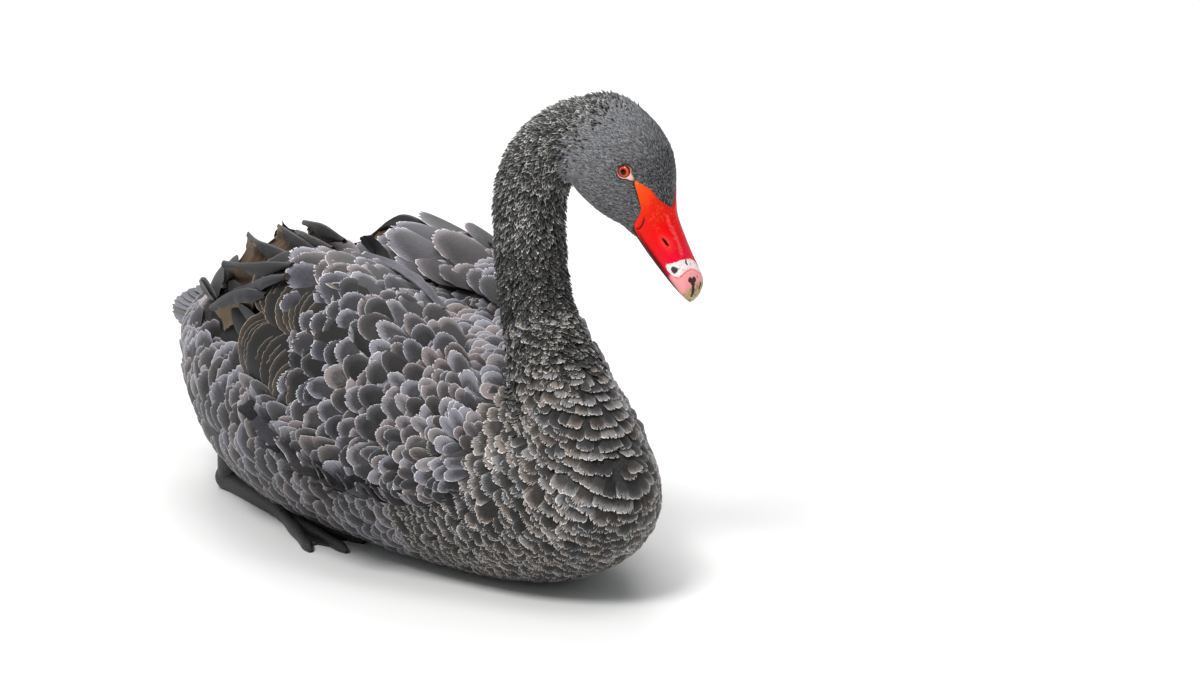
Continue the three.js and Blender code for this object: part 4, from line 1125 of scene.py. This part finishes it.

# Bill
# Two horn-sheathed jaws, wet red that runs up over the bare skin to the eye, with slot nostrils,
# a pale scarred band and a pinkish nail that is horn-brown at its tip. The upper jaw's deep sides
# close over the lower one, which shows as a thin edge coloured near black as painted shade.
BILL_LOWER = [
    [37, 9.5, -34.8, -32.2, -37.6], [55, 12.0, -36, -33, -38.8], [75, 11.6, -38, -35, -41],
    [88, 9.3, -40, -38, -42.2], [94, 4.4, -42.3, -41, -43.9],
]
# Forehead to tip: distance ahead, then as the hull's. Its first rows are the head's own.
SHEATH = HEAD[4:7] + [
    [36, 19, -17, 2, -36], [46, 16.4, -23, -5.5, -35.5], [60, 15.2, -26, -13, -37.2],
    [75, 15, -28.5, -20.5, -39.4], [86, 14.2, -31, -25, -40.8], [93.5, 10.8, -34.5, -29, -42.3],
    [98, 4, -39, -35.5, -43.6],
]
NOSTRIL_AT, NOSTRIL_TURN, NOSTRIL_HALF, NOSTRIL_DEEP = (57.2, -18.3), math.radians(-11), (3.9, 0.85), 2.4
BILL_ROWS, BILL_SIDES, BILL_TIP = 200, 176, 97.8
JAW_ROWS, JAW_SIDES, JAW_FROM, JAW_TO = 70, 60, 37, 93.8
SHEATH_OVER, SHEATH_UNDER = 0.5, 1.3
# Degrees round the bill from its left side over its ridge, where the pale band starts and where it ends.
BAND = [[-20, 86, 86], [50, 81.5, 86.8], [62, 78, 86], [87, 75.3, 83.2], [98, 75, 81.8], [110, 74.3, 81.8],
        [127, 73.4, 81.8], [140, 72.8, 82.2], [152, 72, 82.5], [172, 70.6, 82.2], [186, 69.2, 80.5],
        [195, 69.2, 77.5], [203, 73, 72]]
# Dark scars: distance ahead, distance left, half length, half width, strength.
SCARS = [[88.4, -8.2, 1.8, 1.8, 1.0], [89.4, -4.2, 1.9, 1.9, 1.0], [90.8, -6.6, 2.3, 2.0, 1.0],
         [93.6, -7.2, 2.4, 1.2, 1.0], [95.6, -6.4, 1.6, 0.9, 1.0], [93.6, 2.3, 1.3, 1.0, 1.0],
         [95.2, 0.5, 1.3, 1.0, 0.9], [88.7, 0.2, 1.1, 0.5, 0.9], [75.4, -4.0, 0.9, 0.7, 1.0],
         [76.9, -5.0, 1.4, 0.9, 1.0], [78.2, -4.5, 0.9, 0.7, 0.9], [78.4, -0.4, 1.3, 0.45, 0.7],
         [82.0, 7.2, 1.6, 0.5, 0.6], [77.5, -11.8, 0.8, 0.6, 0.5], [76.4, -10.0, 0.6, 0.5, 0.5]]
SIDE_SCAR = [76.0, -27.4, 3.1, 2.5]
MOUTH_CREASE = [[35.4, -14.6], [36.6, -17], [37.1, -19], [37.5, -21.5], [37.4, -24], [36.4, -26]]


def from_line(points, line):
    """Distances of flat points from a line through corners."""
    line = np.asarray(line, float)
    dense = np.concatenate([np.linspace(a, b, 12) for a, b in zip(line, line[1:])])
    return np.sqrt(((points[:, None] - dense[None]) ** 2).sum(-1)).min(1)


turns = all_round(BILL_SIDES)
search = np.arange(8, 44, 0.25)
edge_starts = []
for turn in turns:
    bare = bare_face(egg(HEAD, place_on(HEAD, search), np.full(len(search), turn)))
    edge_starts.append(search[np.argmax(bare)] if bare.any() else 40)
edge_starts = np.array(edge_starts)
for _ in range(3):
    edge_starts = (np.roll(edge_starts, 1) + edge_starts * 2 + np.roll(edge_starts, -1)) / 4
edge_starts -= 1.6
along = np.linspace(0, 1, BILL_ROWS)[:, None]
ahead = (edge_starts[None] + (BILL_TIP - edge_starts[None]) * along).ravel()
turn = np.tile(turns, BILL_ROWS)
places = place_on(SHEATH, ahead)
_, wide, level, top, low = row_at(SHEATH, places).T
past_edge = smooth(ahead - np.tile(edge_starts, BILL_ROWS), 0, 2.4)
over = SHEATH_OVER * (1 - smooth(ahead, 38, 46)) - SHEATH_UNDER * (1 - past_edge)
steep = 1 - 0.45 * smooth(ahead, 33, 46) * (np.sin(turn) < 0)
across = np.sign(np.cos(turn)) * np.abs(np.cos(turn)) ** steep
rise = np.sin(turn) * np.where(np.sin(turn) > 0, top - level + over, level - low + over)
upper = np.column_stack([ahead, across * (wide + over), level + rise])
inward = unit(np.column_stack([0 * ahead, 0 * ahead, np.interp(ahead, [12, 36, 98], [-12, -20, -38])])
              + upper * np.array([1, 0, 0]) - upper)
aside, high = ahead - NOSTRIL_AT[0], upper[:, 2] - NOSTRIL_AT[1]
slot_long = aside * math.cos(NOSTRIL_TURN) + high * math.sin(NOSTRIL_TURN)
slot_high = high * math.cos(NOSTRIL_TURN) - aside * math.sin(NOSTRIL_TURN)
slot = np.sqrt((slot_long / NOSTRIL_HALF[0]) ** 2 + (slot_high / NOSTRIL_HALF[1]) ** 2)
around_slot = np.exp(-((slot_long / 5.5) ** 2) - (slot_high / 2.6) ** 2)
dent = NOSTRIL_DEEP * (1 - smooth(slot, 0.6, 1.2)) - 0.35 * around_slot
near_crease = from_line(upper[:, [0, 2]], MOUTH_CREASE)
crease = np.exp(-((near_crease / 0.55) ** 2))
dent += 0.7 * crease - 0.5 * np.exp(-(((near_crease - 2.0) / 1.1) ** 2)) * (ahead < 37)
degrees = np.degrees(np.where(turn > 1.5 * np.pi, turn - 2 * np.pi, turn))
band = np.array(BAND, float)
back_edge, front_edge = (np.interp(degrees, band[:, 0], band[:, c]) for c in (1, 2))
on_top = smooth(degrees, 20, 50) * (1 - smooth(degrees, 160, 185))
dent -= 0.45 * smooth(ahead - front_edge, 0.5, 2.5) * on_top
dent += 0.25 * np.exp(-(((ahead - front_edge) / 0.7) ** 2)) * (degrees < 190)
upper += inward * dent[:, None]
scars = np.zeros(len(upper))
for at, out, long, broad, strength in SCARS:
    spot = np.sqrt(((upper[:, 0] - at) / long) ** 2 + ((upper[:, 1] - out) / broad) ** 2)
    scars = np.maximum(scars, strength * np.clip(1.5 - spot, 0, 1) * (np.sin(turn) > 0.1))
at, high, long, broad = SIDE_SCAR
spot = np.sqrt(((upper[:, 0] - at) / long) ** 2 + ((upper[:, 2] - high) / broad) ** 2)
scars = np.maximum(scars, 0.72 * np.clip(1.5 - spot, 0, 1) * (upper[:, 1] < 0))
# Painted highlight: the ridge mark is a pale salmon streak along the near side of the bill's ridge, for the
# sky's reflection there.
ridge_highlight_out = np.interp(ahead, [40, 46, 54, 62, 68, 74], [-6.5, -7.5, -6, -5.2, -5.6, -6])
ridge = np.exp(-(((upper[:, 1] - ridge_highlight_out) / 2.3) ** 2)) * (np.sin(turn) > 0)
ridge *= smooth(ahead, 38, 46) * (1 - smooth(ahead, 70, 75))
marks = {
    "band": np.clip(np.minimum(ahead - back_edge, front_edge - ahead) / 10, -1, 1),
    "nail": np.clip((ahead - np.maximum(front_edge, 76)) / 10, -1, 1),
    # The crease mark is painted shade: the mouth crease and the inside of the nostril slot are coloured near
    # black.
    "scar": scars, "ridge": ridge, "crease": np.maximum(crease, 1 - smooth(slot, 0.75, 1.15)),
    # On the next line: a painted highlight round the nostril, and painted shade on the upper jaw's lower
    # right side.
    "flush": around_slot, "lip": smooth(degrees, 196, 232) * smooth(ahead, 36, 42),
}


def beak_mesh(name, rings, marks):
    """A jaw from rings in the head's frame, with its marks and its own place as attributes."""
    points, faces = loft(list(rings))
    piece = mesh_of(name, from_head(points), faces)
    mark_points(piece, "beak_place", points / 100, "FLOAT_VECTOR", "vector")
    for key, values in marks.items():
        mark_points(piece, key, np.append(values, values[[0, -1]]))
    return piece


# Along the bill, from the orange by the eye to the crimson before the band.
REDS = [(0.1, "#f0701a"), (0.22, "#ee4a06"), (0.34, "#e81800"), (0.48, "#e20002"), (0.62, "#e0001c"),
        (0.74, "#e20634")]


def red_horn():
    """Keratin over blood-rich skin: saturated wet red, orange by the eye and crimson before the band,
    which is chalky white with grey scars. The nail is pink and turns to brown horn at its tip."""
    values = {"Roughness": 0.34, "IOR": 1.5, "Specular IOR Level": 0.14}
    material, tree, shader = blank("red_bill_horn", values)
    local = node(tree, "Attribute", {"attribute_name": "beak_place"}, out="Vector")
    ahead, _, high = node(tree, "SeparateXYZ", (), local, out="all")
    cloud = node(tree, "TexNoise", (), local, 11.0, 3.0)
    ragged = node(tree, "TexNoise", (), local, 60.0, 2.0)
    wobble = node(tree, "Math", LESS, ragged, 0.5)
    mark = {key: node(tree, "Attribute", {"attribute_name": key}, out="Fac") for key in marks}

    def frayed(value, share, low, high):
        """A smooth rise of a mark between low and high, with a ragged edge."""
        value = node(tree, "Math", PLUS, value, node(tree, "Math", TIMES, wobble, share))
        return node(tree, "MapRange", EASED, value, low, high)

    def over(colour, share, value, tint):
        """The colour with a tint over it, as strong as a value times its share."""
        return node(tree, "Mix", BLEND, node(tree, "Math", TIMES, value, share), colour, linear(tint))

    drift = node(tree, "Math", TIMES, node(tree, "Math", LESS, cloud, 0.5), 0.16)
    drift = node(tree, "Math", PLUS, ahead, drift)
    drift = node(tree, "Math", PLUS, drift, node(tree, "Math", TIMES, wobble, 0.05))
    red = node(tree, "ValToRGB", {"stops": REDS}, drift)
    mottle = node(tree, "MapRange", EASED, node(tree, "Math", TIMES, cloud, ragged), 0.27, 0.42)
    mottle = node(tree, "Math", TIMES, mottle, node(tree, "MapRange", EASED, high, -0.26, -0.12))
    red = over(red, 0.5, mottle, "#f4501e")
    # Painted highlight on the swelling round the nostril.
    red = over(red, 0.4, mark["flush"], "#f4634a")
    # Painted highlight along the ridge.
    red = over(red, 0.34, frayed(mark["ridge"], 1.6, 0.35, 1.1), "#f2756a")
    # Painted shade on the upper jaw's lower right side.
    red = over(red, 0.75, mark["lip"], "#7c0410")
    pink = node(tree, "Mix", BLEND, cloud, linear("#ea8085"), linear("#f6b2b0"))
    tip = node(tree, "ValToRGB", {"stops": [(0.4, "#8a744f"), (0.6, "#c9ac84")]}, ragged)
    pink = node(tree, "Mix", BLEND, frayed(ahead, 0.03, 0.905, 0.945), pink, tip)
    colour = node(tree, "Mix", BLEND, frayed(mark["nail"], 0.2, -0.12, 0.22), red, pink)
    stained = node(tree, "MapRange", EASED, ragged, 0.5, 0.72)
    chalk = node(tree, "Mix", BLEND, stained, linear("#f2e4e0"), linear("#c3aeb0"))
    colour = node(tree, "Mix", BLEND, frayed(mark["band"], 0.22, -0.02, 0.05), colour, chalk)
    colour = over(colour, 0.95, frayed(mark["scar"], 0.7, 0.3, 0.62), "#191919")
    # Painted shade in the mouth crease and the nostril slot.
    colour = node(tree, "Mix", BLEND, mark["crease"], colour, linear("#240205"))
    tree.links.new(colour, shader.inputs["Base Color"])
    height = node(tree, "Math", PLUS, ragged, node(tree, "Math", TIMES, cloud, 1.5))
    tree.links.new(node(tree, "Bump", (), 0.35, 0.4 * MM, Height=height), shader.inputs["Normal"])
    return material


bill_upper = beak_mesh("bill_upper_jaw", upper.reshape(BILL_ROWS, BILL_SIDES, 3), marks)
lower_places = place_on(BILL_LOWER, np.linspace(JAW_FROM, JAW_TO, JAW_ROWS))
rings = [egg(BILL_LOWER, np.full(JAW_SIDES, place), all_round(JAW_SIDES)) for place in lower_places]
bill_lower = beak_mesh("bill_lower_jaw", rings, {})
dress(bill_upper, red_horn(), "bill", "bill_upper")
# Horn of the lower jaw, dull, coloured dark red to black as painted shade for its shadow under the upper jaw.
shaded_jaw_horn = blank("shaded_lower_jaw_horn", {"Base Color": linear("#34090c"), "Roughness": 0.4})[0]
dress(bill_lower, shaded_jaw_horn, "bill", "bill_lower")

# Eyes
# Wet balls with a clear bulging cornea over an orange-red iris and a round black pupil, set deep in
# the head. The lid is a thin ring of pale naked skin, drawn out in front to the bare red skin.
EYE_PUPIL, EYE_IRIS = 1.95, 4.1
LID_AXIS = unit(np.array([0.12, 0.96, 0.24]))
LID_CORNER, LID_LOWER = math.radians(-4), math.radians(-62)
LID_OPENING, LID_SIDES, EYE_SIDES = 4.75, 96, 48
# Rings of the lid from its inner edge outwards: how far past its opening, how high and how pale. The first
# four stand over the ball, and the others lie on the head.
LID_RINGS = [(-0.8, -1.6, 0), (-0.55, -0.5, 0.1), (-0.2, 0.25, 0.6), (0.1, 0.4, 1), (0.35, 0.3, 0.9),
             (0.6, -0.1, 0.7), (0.8, -0.7, 0.3)]


def round_axis(centre, axis, rings):
    """Rings round an axis from pairs of distance along it and radius."""
    first = unit(np.cross(axis, [0.3, 0.1, 1.0]))
    second = np.cross(axis, first)
    turns = all_round(EYE_SIDES)
    circle = np.cos(turns)[:, None] * first + np.sin(turns)[:, None] * second
    return [centre + axis * away + circle * radius for away, radius in rings]


def eye_ball_finish():
    """Moist eye: the iris is streaked orange-red, darker at its rim, under a smooth clear cornea."""
    values = {"Roughness": 0.05, "IOR": 1.38, "Specular IOR Level": 0.35}
    material, tree, shader = blank("moist_eye", values)
    streak = node(tree, "TexNoise", (), node(tree, "TexCoord", out="Object"), 1400.0)
    streak = node(tree, "Math", TIMES, node(tree, "Math", LESS, streak, 0.5), 0.06)
    away = node(tree, "Attribute", {"attribute_name": "from_pupil"}, out="Fac")
    pupil, iris = EYE_PUPIL / 10, EYE_IRIS / 10
    stops = [(pupil - 0.01, "#030202"), (pupil + 0.02, "#6e1606"), (0.27, "#c1421f"),
             (iris - 0.06, "#d65a36"), (iris, "#7c1c0c"), (iris + 0.05, "#140404")]
    colour = node(tree, "ValToRGB", {"stops": stops}, node(tree, "Math", PLUS, away, streak))
    tree.links.new(colour, shader.inputs["Base Color"])
    return material


def lid_finish():
    """Naked lid skin: pale pink on its crest and in the front corner, dark where it dips to ball and down."""
    material, tree, shader = blank("pale_lid_skin", {"Roughness": 0.45, "Specular IOR Level": 0.3})
    grain = node(tree, "TexNoise", (), node(tree, "TexCoord", out="Object"), 900.0)
    grain = node(tree, "Math", TIMES, node(tree, "Math", LESS, grain, 0.5), 0.5)
    pale = node(tree, "Math", PLUS, node(tree, "Attribute", {"attribute_name": "crest"}, out="Fac"), grain)
    colour = node(tree, "ValToRGB", {"stops": [(0.15, "#1a1413"), (0.5, "#a3655a"), (0.85, "#e2b3a6")]}, pale)
    tree.links.new(colour, shader.inputs["Base Color"])
    return material


eye_finish, lid_skin = eye_ball_finish(), lid_finish()
for side, sign in (("left", 1), ("right", -1)):
    turned_out = np.array([1.0, sign, 1.0])
    centre = from_head([EYE_PLACE * turned_out])[0]
    axis = (EYE_AXIS * turned_out) @ HEAD_AXES.T
    angles = np.radians(np.concatenate([np.linspace(0.5, 50, 40), np.linspace(55, 176, 18)]))
    swell = 0.35 * np.exp(-((angles / 0.45) ** 2))
    rings = [((EYE_BALL + s) * math.cos(a), (EYE_BALL + s) * math.sin(a)) for a, s in zip(angles, swell)]
    points, faces = loft(round_axis(centre, axis, rings))
    ball = mesh_of(f"eye_ball_{side}", points, faces)
    reach = np.linalg.norm(np.cross(points - centre, axis), axis=1) + 9 * ((points - centre) @ axis < 0)
    mark_points(ball, "from_pupil", reach / 10)
    dress(ball, eye_finish, "eye", f"eye_{side}")
    lid_axis = LID_AXIS * turned_out
    fore = unit(np.array([1.0, 0, 0]) - lid_axis * lid_axis[0])
    rise = np.cross(fore, lid_axis) * -sign
    middle = (EYE_MIDDLE - EYE_AXIS * 1.4) * turned_out
    turns = np.linspace(0, 2 * np.pi, LID_SIDES + 1)[:-1]
    from_corner = np.angle(np.exp(1j * (turns - LID_CORNER)))
    from_lower = np.angle(np.exp(1j * (turns - LID_LOWER)))
    corner = np.exp(-((from_corner / 0.33) ** 2))
    reach = 0.35 + 5.0 * corner + 1.5 * np.exp(-((from_lower / 0.55) ** 2))
    circle = np.cos(turns)[:, None] * fore + np.sin(turns)[:, None] * rise
    rows, crests = [], []
    for out, height, crest in LID_RINGS:
        on_head = out > 0.2
        radius = (LID_OPENING + out / 0.8 * reach)[:, None] if on_head else LID_OPENING + out
        points = from_head(middle + circle * radius)
        if on_head:
            skin_at, skin_lean = on_skin(points)
            points = skin_at + skin_lean * (1.1 + height)
        else:
            points = points + (lid_axis @ HEAD_AXES.T) * height
        rows.append(points)
        crests.append(crest * (0.3 + 0.7 * np.clip(corner * 2 + 0.5 + 0.5 * np.cos(turns - 0.6), 0, 1)))
    lid = mesh_of(f"eye_lid_{side}", np.concatenate(rows), [round_faces(len(rows), LID_SIDES)[:, ::-sign]])
    mark_points(lid, "crest", crests)
    dress(lid, lid_skin, "head_feathers")

# Feet
# Black leathery legs under the belly: a short shank, a long tarsus on the floor, three long webbed toes
# ahead with nets of scales and blunt claws, and a small toe behind.
FOOT_PLACE, FOOT_TURNOUT, FOOT_SPREAD = np.array([-84.0, 70.0]), math.radians(7), math.radians(14)
HIND_TURN, TOE_LENGTHS = math.radians(205), [92, 106, 94]
WEB_THICK, WEB_REACH = 2.2, 0.86
LIMB_RINGS, LIMB_SIDES = 40, 24
SHANK = [[-96, 6, 6, 6], [-92, 14, 9, 9], [-84, 36, 12, 12], [-74, 62, 12, 12]]
TARSUS = [[-106, 8, 4, 5], [-98, 8.5, 8.5, 9.5], [-78, 7.5, 6.5, 8], [-20, 6, 6, 7], [6, 5, 7, 6]]
TOE = [[0, 4.5, 6, 5.5], [0.45, 3.5, 4.6, 4.8], [0.9, 2.8, 3.8, 4], [1, 1.8, 1.2, 2.2]]
HIND = [[0, 6, 3, 3], [12, 4.5, 2.6, 2.8], [19, 2.2, 0.8, 1.2]]


def limb(table, angle, reach=1.0, knuckles=0):
    """A leg or toe: rings along a line at an angle, swollen at its joints."""
    rows = row_at(table, np.linspace(0, len(table) - 1, LIMB_RINGS))
    ahead = np.array([math.cos(angle), math.sin(angle), 0.0])
    side = np.array([-ahead[1], ahead[0], 0.0])
    level = FOOT_PLACE + ahead[:2] * rows[:, :1] * reach
    middles = np.column_stack([level, rows[:, 1]])
    run = unit(np.gradient(middles, axis=0))
    lift = np.cross(run, side)
    swell = 1 + 0.1 * np.cos(np.linspace(0, knuckles * 2 * np.pi, LIMB_RINGS)) * (knuckles > 0)
    turns = all_round(LIMB_SIDES)
    rings = []
    for i in range(LIMB_RINGS):
        across = side * np.cos(turns)[:, None] * rows[i, 2] + lift[i] * np.sin(turns)[:, None] * rows[i, 3]
        ring = middles[i] + across * swell[i]
        ring[:, 2] = np.maximum(ring[:, 2], 0.1)
        rings.append(ring)
    return loft(rings)


def foot_parts():
    """The left foot's bodies: shank, tarsus, small toe, three long toes and the two webs between them."""
    bodies = [limb(SHANK, FOOT_TURNOUT), limb(TARSUS, FOOT_TURNOUT), limb(HIND, FOOT_TURNOUT + HIND_TURN)]
    angles = [FOOT_TURNOUT + (k - 1) * FOOT_SPREAD for k in range(3)]
    for angle, length in zip(angles, TOE_LENGTHS):
        bodies.append(limb(TOE, angle, length, 3))
    for k in (0, 1):
        across = np.linspace(0, 1, 24)
        angle = angles[k] + (angles[k + 1] - angles[k]) * across
        reach = TOE_LENGTHS[k] + (TOE_LENGTHS[k + 1] - TOE_LENGTHS[k]) * across
        reach = reach * WEB_REACH * (1 - 0.2 * np.sin(across * np.pi))
        along = np.linspace(0.02, 1, 30)[:, None]
        fold = 0.35 * np.sin(across * 5 * np.pi)
        xy = [along * reach * np.cos(angle) + FOOT_PLACE[0], along * reach * np.sin(angle) + FOOT_PLACE[1]]
        top = np.stack([*xy, WEB_THICK * (1 - 0.45 * along) + fold * along], -1)
        low = np.stack([*xy, np.full_like(xy[0], 0.15)], -1)
        rings = [np.concatenate([top[i], low[i][::-1]]) for i in range(30)]
        bodies.append(loft(rings))
    return bodies


def foot_finish():
    """Leathery foot skin, black-brown, netted with small scales about 2 mm wide."""
    material, tree, shader = blank("netted_foot_skin", {"Roughness": 0.5})
    place = node(tree, "TexCoord", out="Object")
    cells = node(tree, "TexVoronoi", {"feature": "DISTANCE_TO_EDGE"}, Vector=place, Scale=450.0)
    net = node(tree, "MapRange", (), cells, 0.02, 0.14)
    colour = node(tree, "ValToRGB", {"stops": [(0.0, "#161515"), (1.0, "#353234")]}, net)
    tree.links.new(colour, shader.inputs["Base Color"])
    tree.links.new(node(tree, "Bump", (), 0.6, 0.4 * MM, Height=net), shader.inputs["Normal"])
    return material


foot_skin = foot_finish()
points, faces = joined(foot_parts())
for side, sign in (("left", 1), ("right", -1)):
    foot = mesh_of(f"foot_{side}_webbed", points * np.array([1, sign, 1]), faces)
    dress(foot, foot_skin, "foot_skin", f"foot_{side}")

# Floor, light and camera
# A plain pale floor of matt paper and soft studio light from large panels.
# The camera stands at the photograph's angle, with the bird at the same size in its picture.
CAMERA_LENS = 298.1
FLOOR_HALF = 9000
# Each panel's place and size in metres, and its watts.
LAMPS = {
    "key": ((1.2, -2.6, 4.0), 1.6, 175),
    "rim": ((-2.6, 1.6, 2.6), 2.0, 70),
    "top": ((0.2, 0.3, 4.0), 3.0, 60),
}
LIT_AT = Vector((0, 0, 0.15))
corners = [[x * FLOOR_HALF, y * FLOOR_HALF, 0] for x, y in ((-1, -1), (1, -1), (1, 1), (-1, 1))]
floor = mesh_of("floor", corners, [np.array([[0, 1, 2, 3]])])
# Matt paper gives soft shadows and no shine.
paper = blank("matt_paper", {"Base Color": linear("#e4e4e2"), "Roughness": 0.9})[0]
floor.data.materials.append(paper)
world_light = bpy.data.worlds.new("studio")
world_light.use_nodes = True
sky = world_light.node_tree.nodes["Background"]
sky.inputs["Color"].default_value = linear("#eef1f4")
sky.inputs["Strength"].default_value = 0.5
bpy.context.scene.world = world_light
for name, (place, size, watts) in LAMPS.items():
    lamp = bpy.data.lights.new(name, "AREA")
    lamp.size, lamp.energy = size, watts
    holder = bpy.data.objects.new(name, lamp)
    holder.location = place
    holder.rotation_euler = (LIT_AT - Vector(place)).to_track_quat("-Z", "Y").to_euler()
    bpy.context.scene.collection.objects.link(holder)
camera = bpy.data.objects.new("camera", bpy.data.cameras.new("camera"))
camera.data.lens, camera.data.sensor_width = CAMERA_LENS, 36.0
camera.data.clip_end = 100.0
away = Vector(CAMERA_WAY)
camera.location = Vector(LOOK_AT * MM) + away * (CAMERA_AWAY * MM)
camera.rotation_euler = (-away).to_track_quat("-Z", "Y").to_euler()
bpy.context.scene.collection.objects.link(camera)
bpy.context.scene.camera = camera
bpy.context.scene.view_settings.view_transform = "Standard"
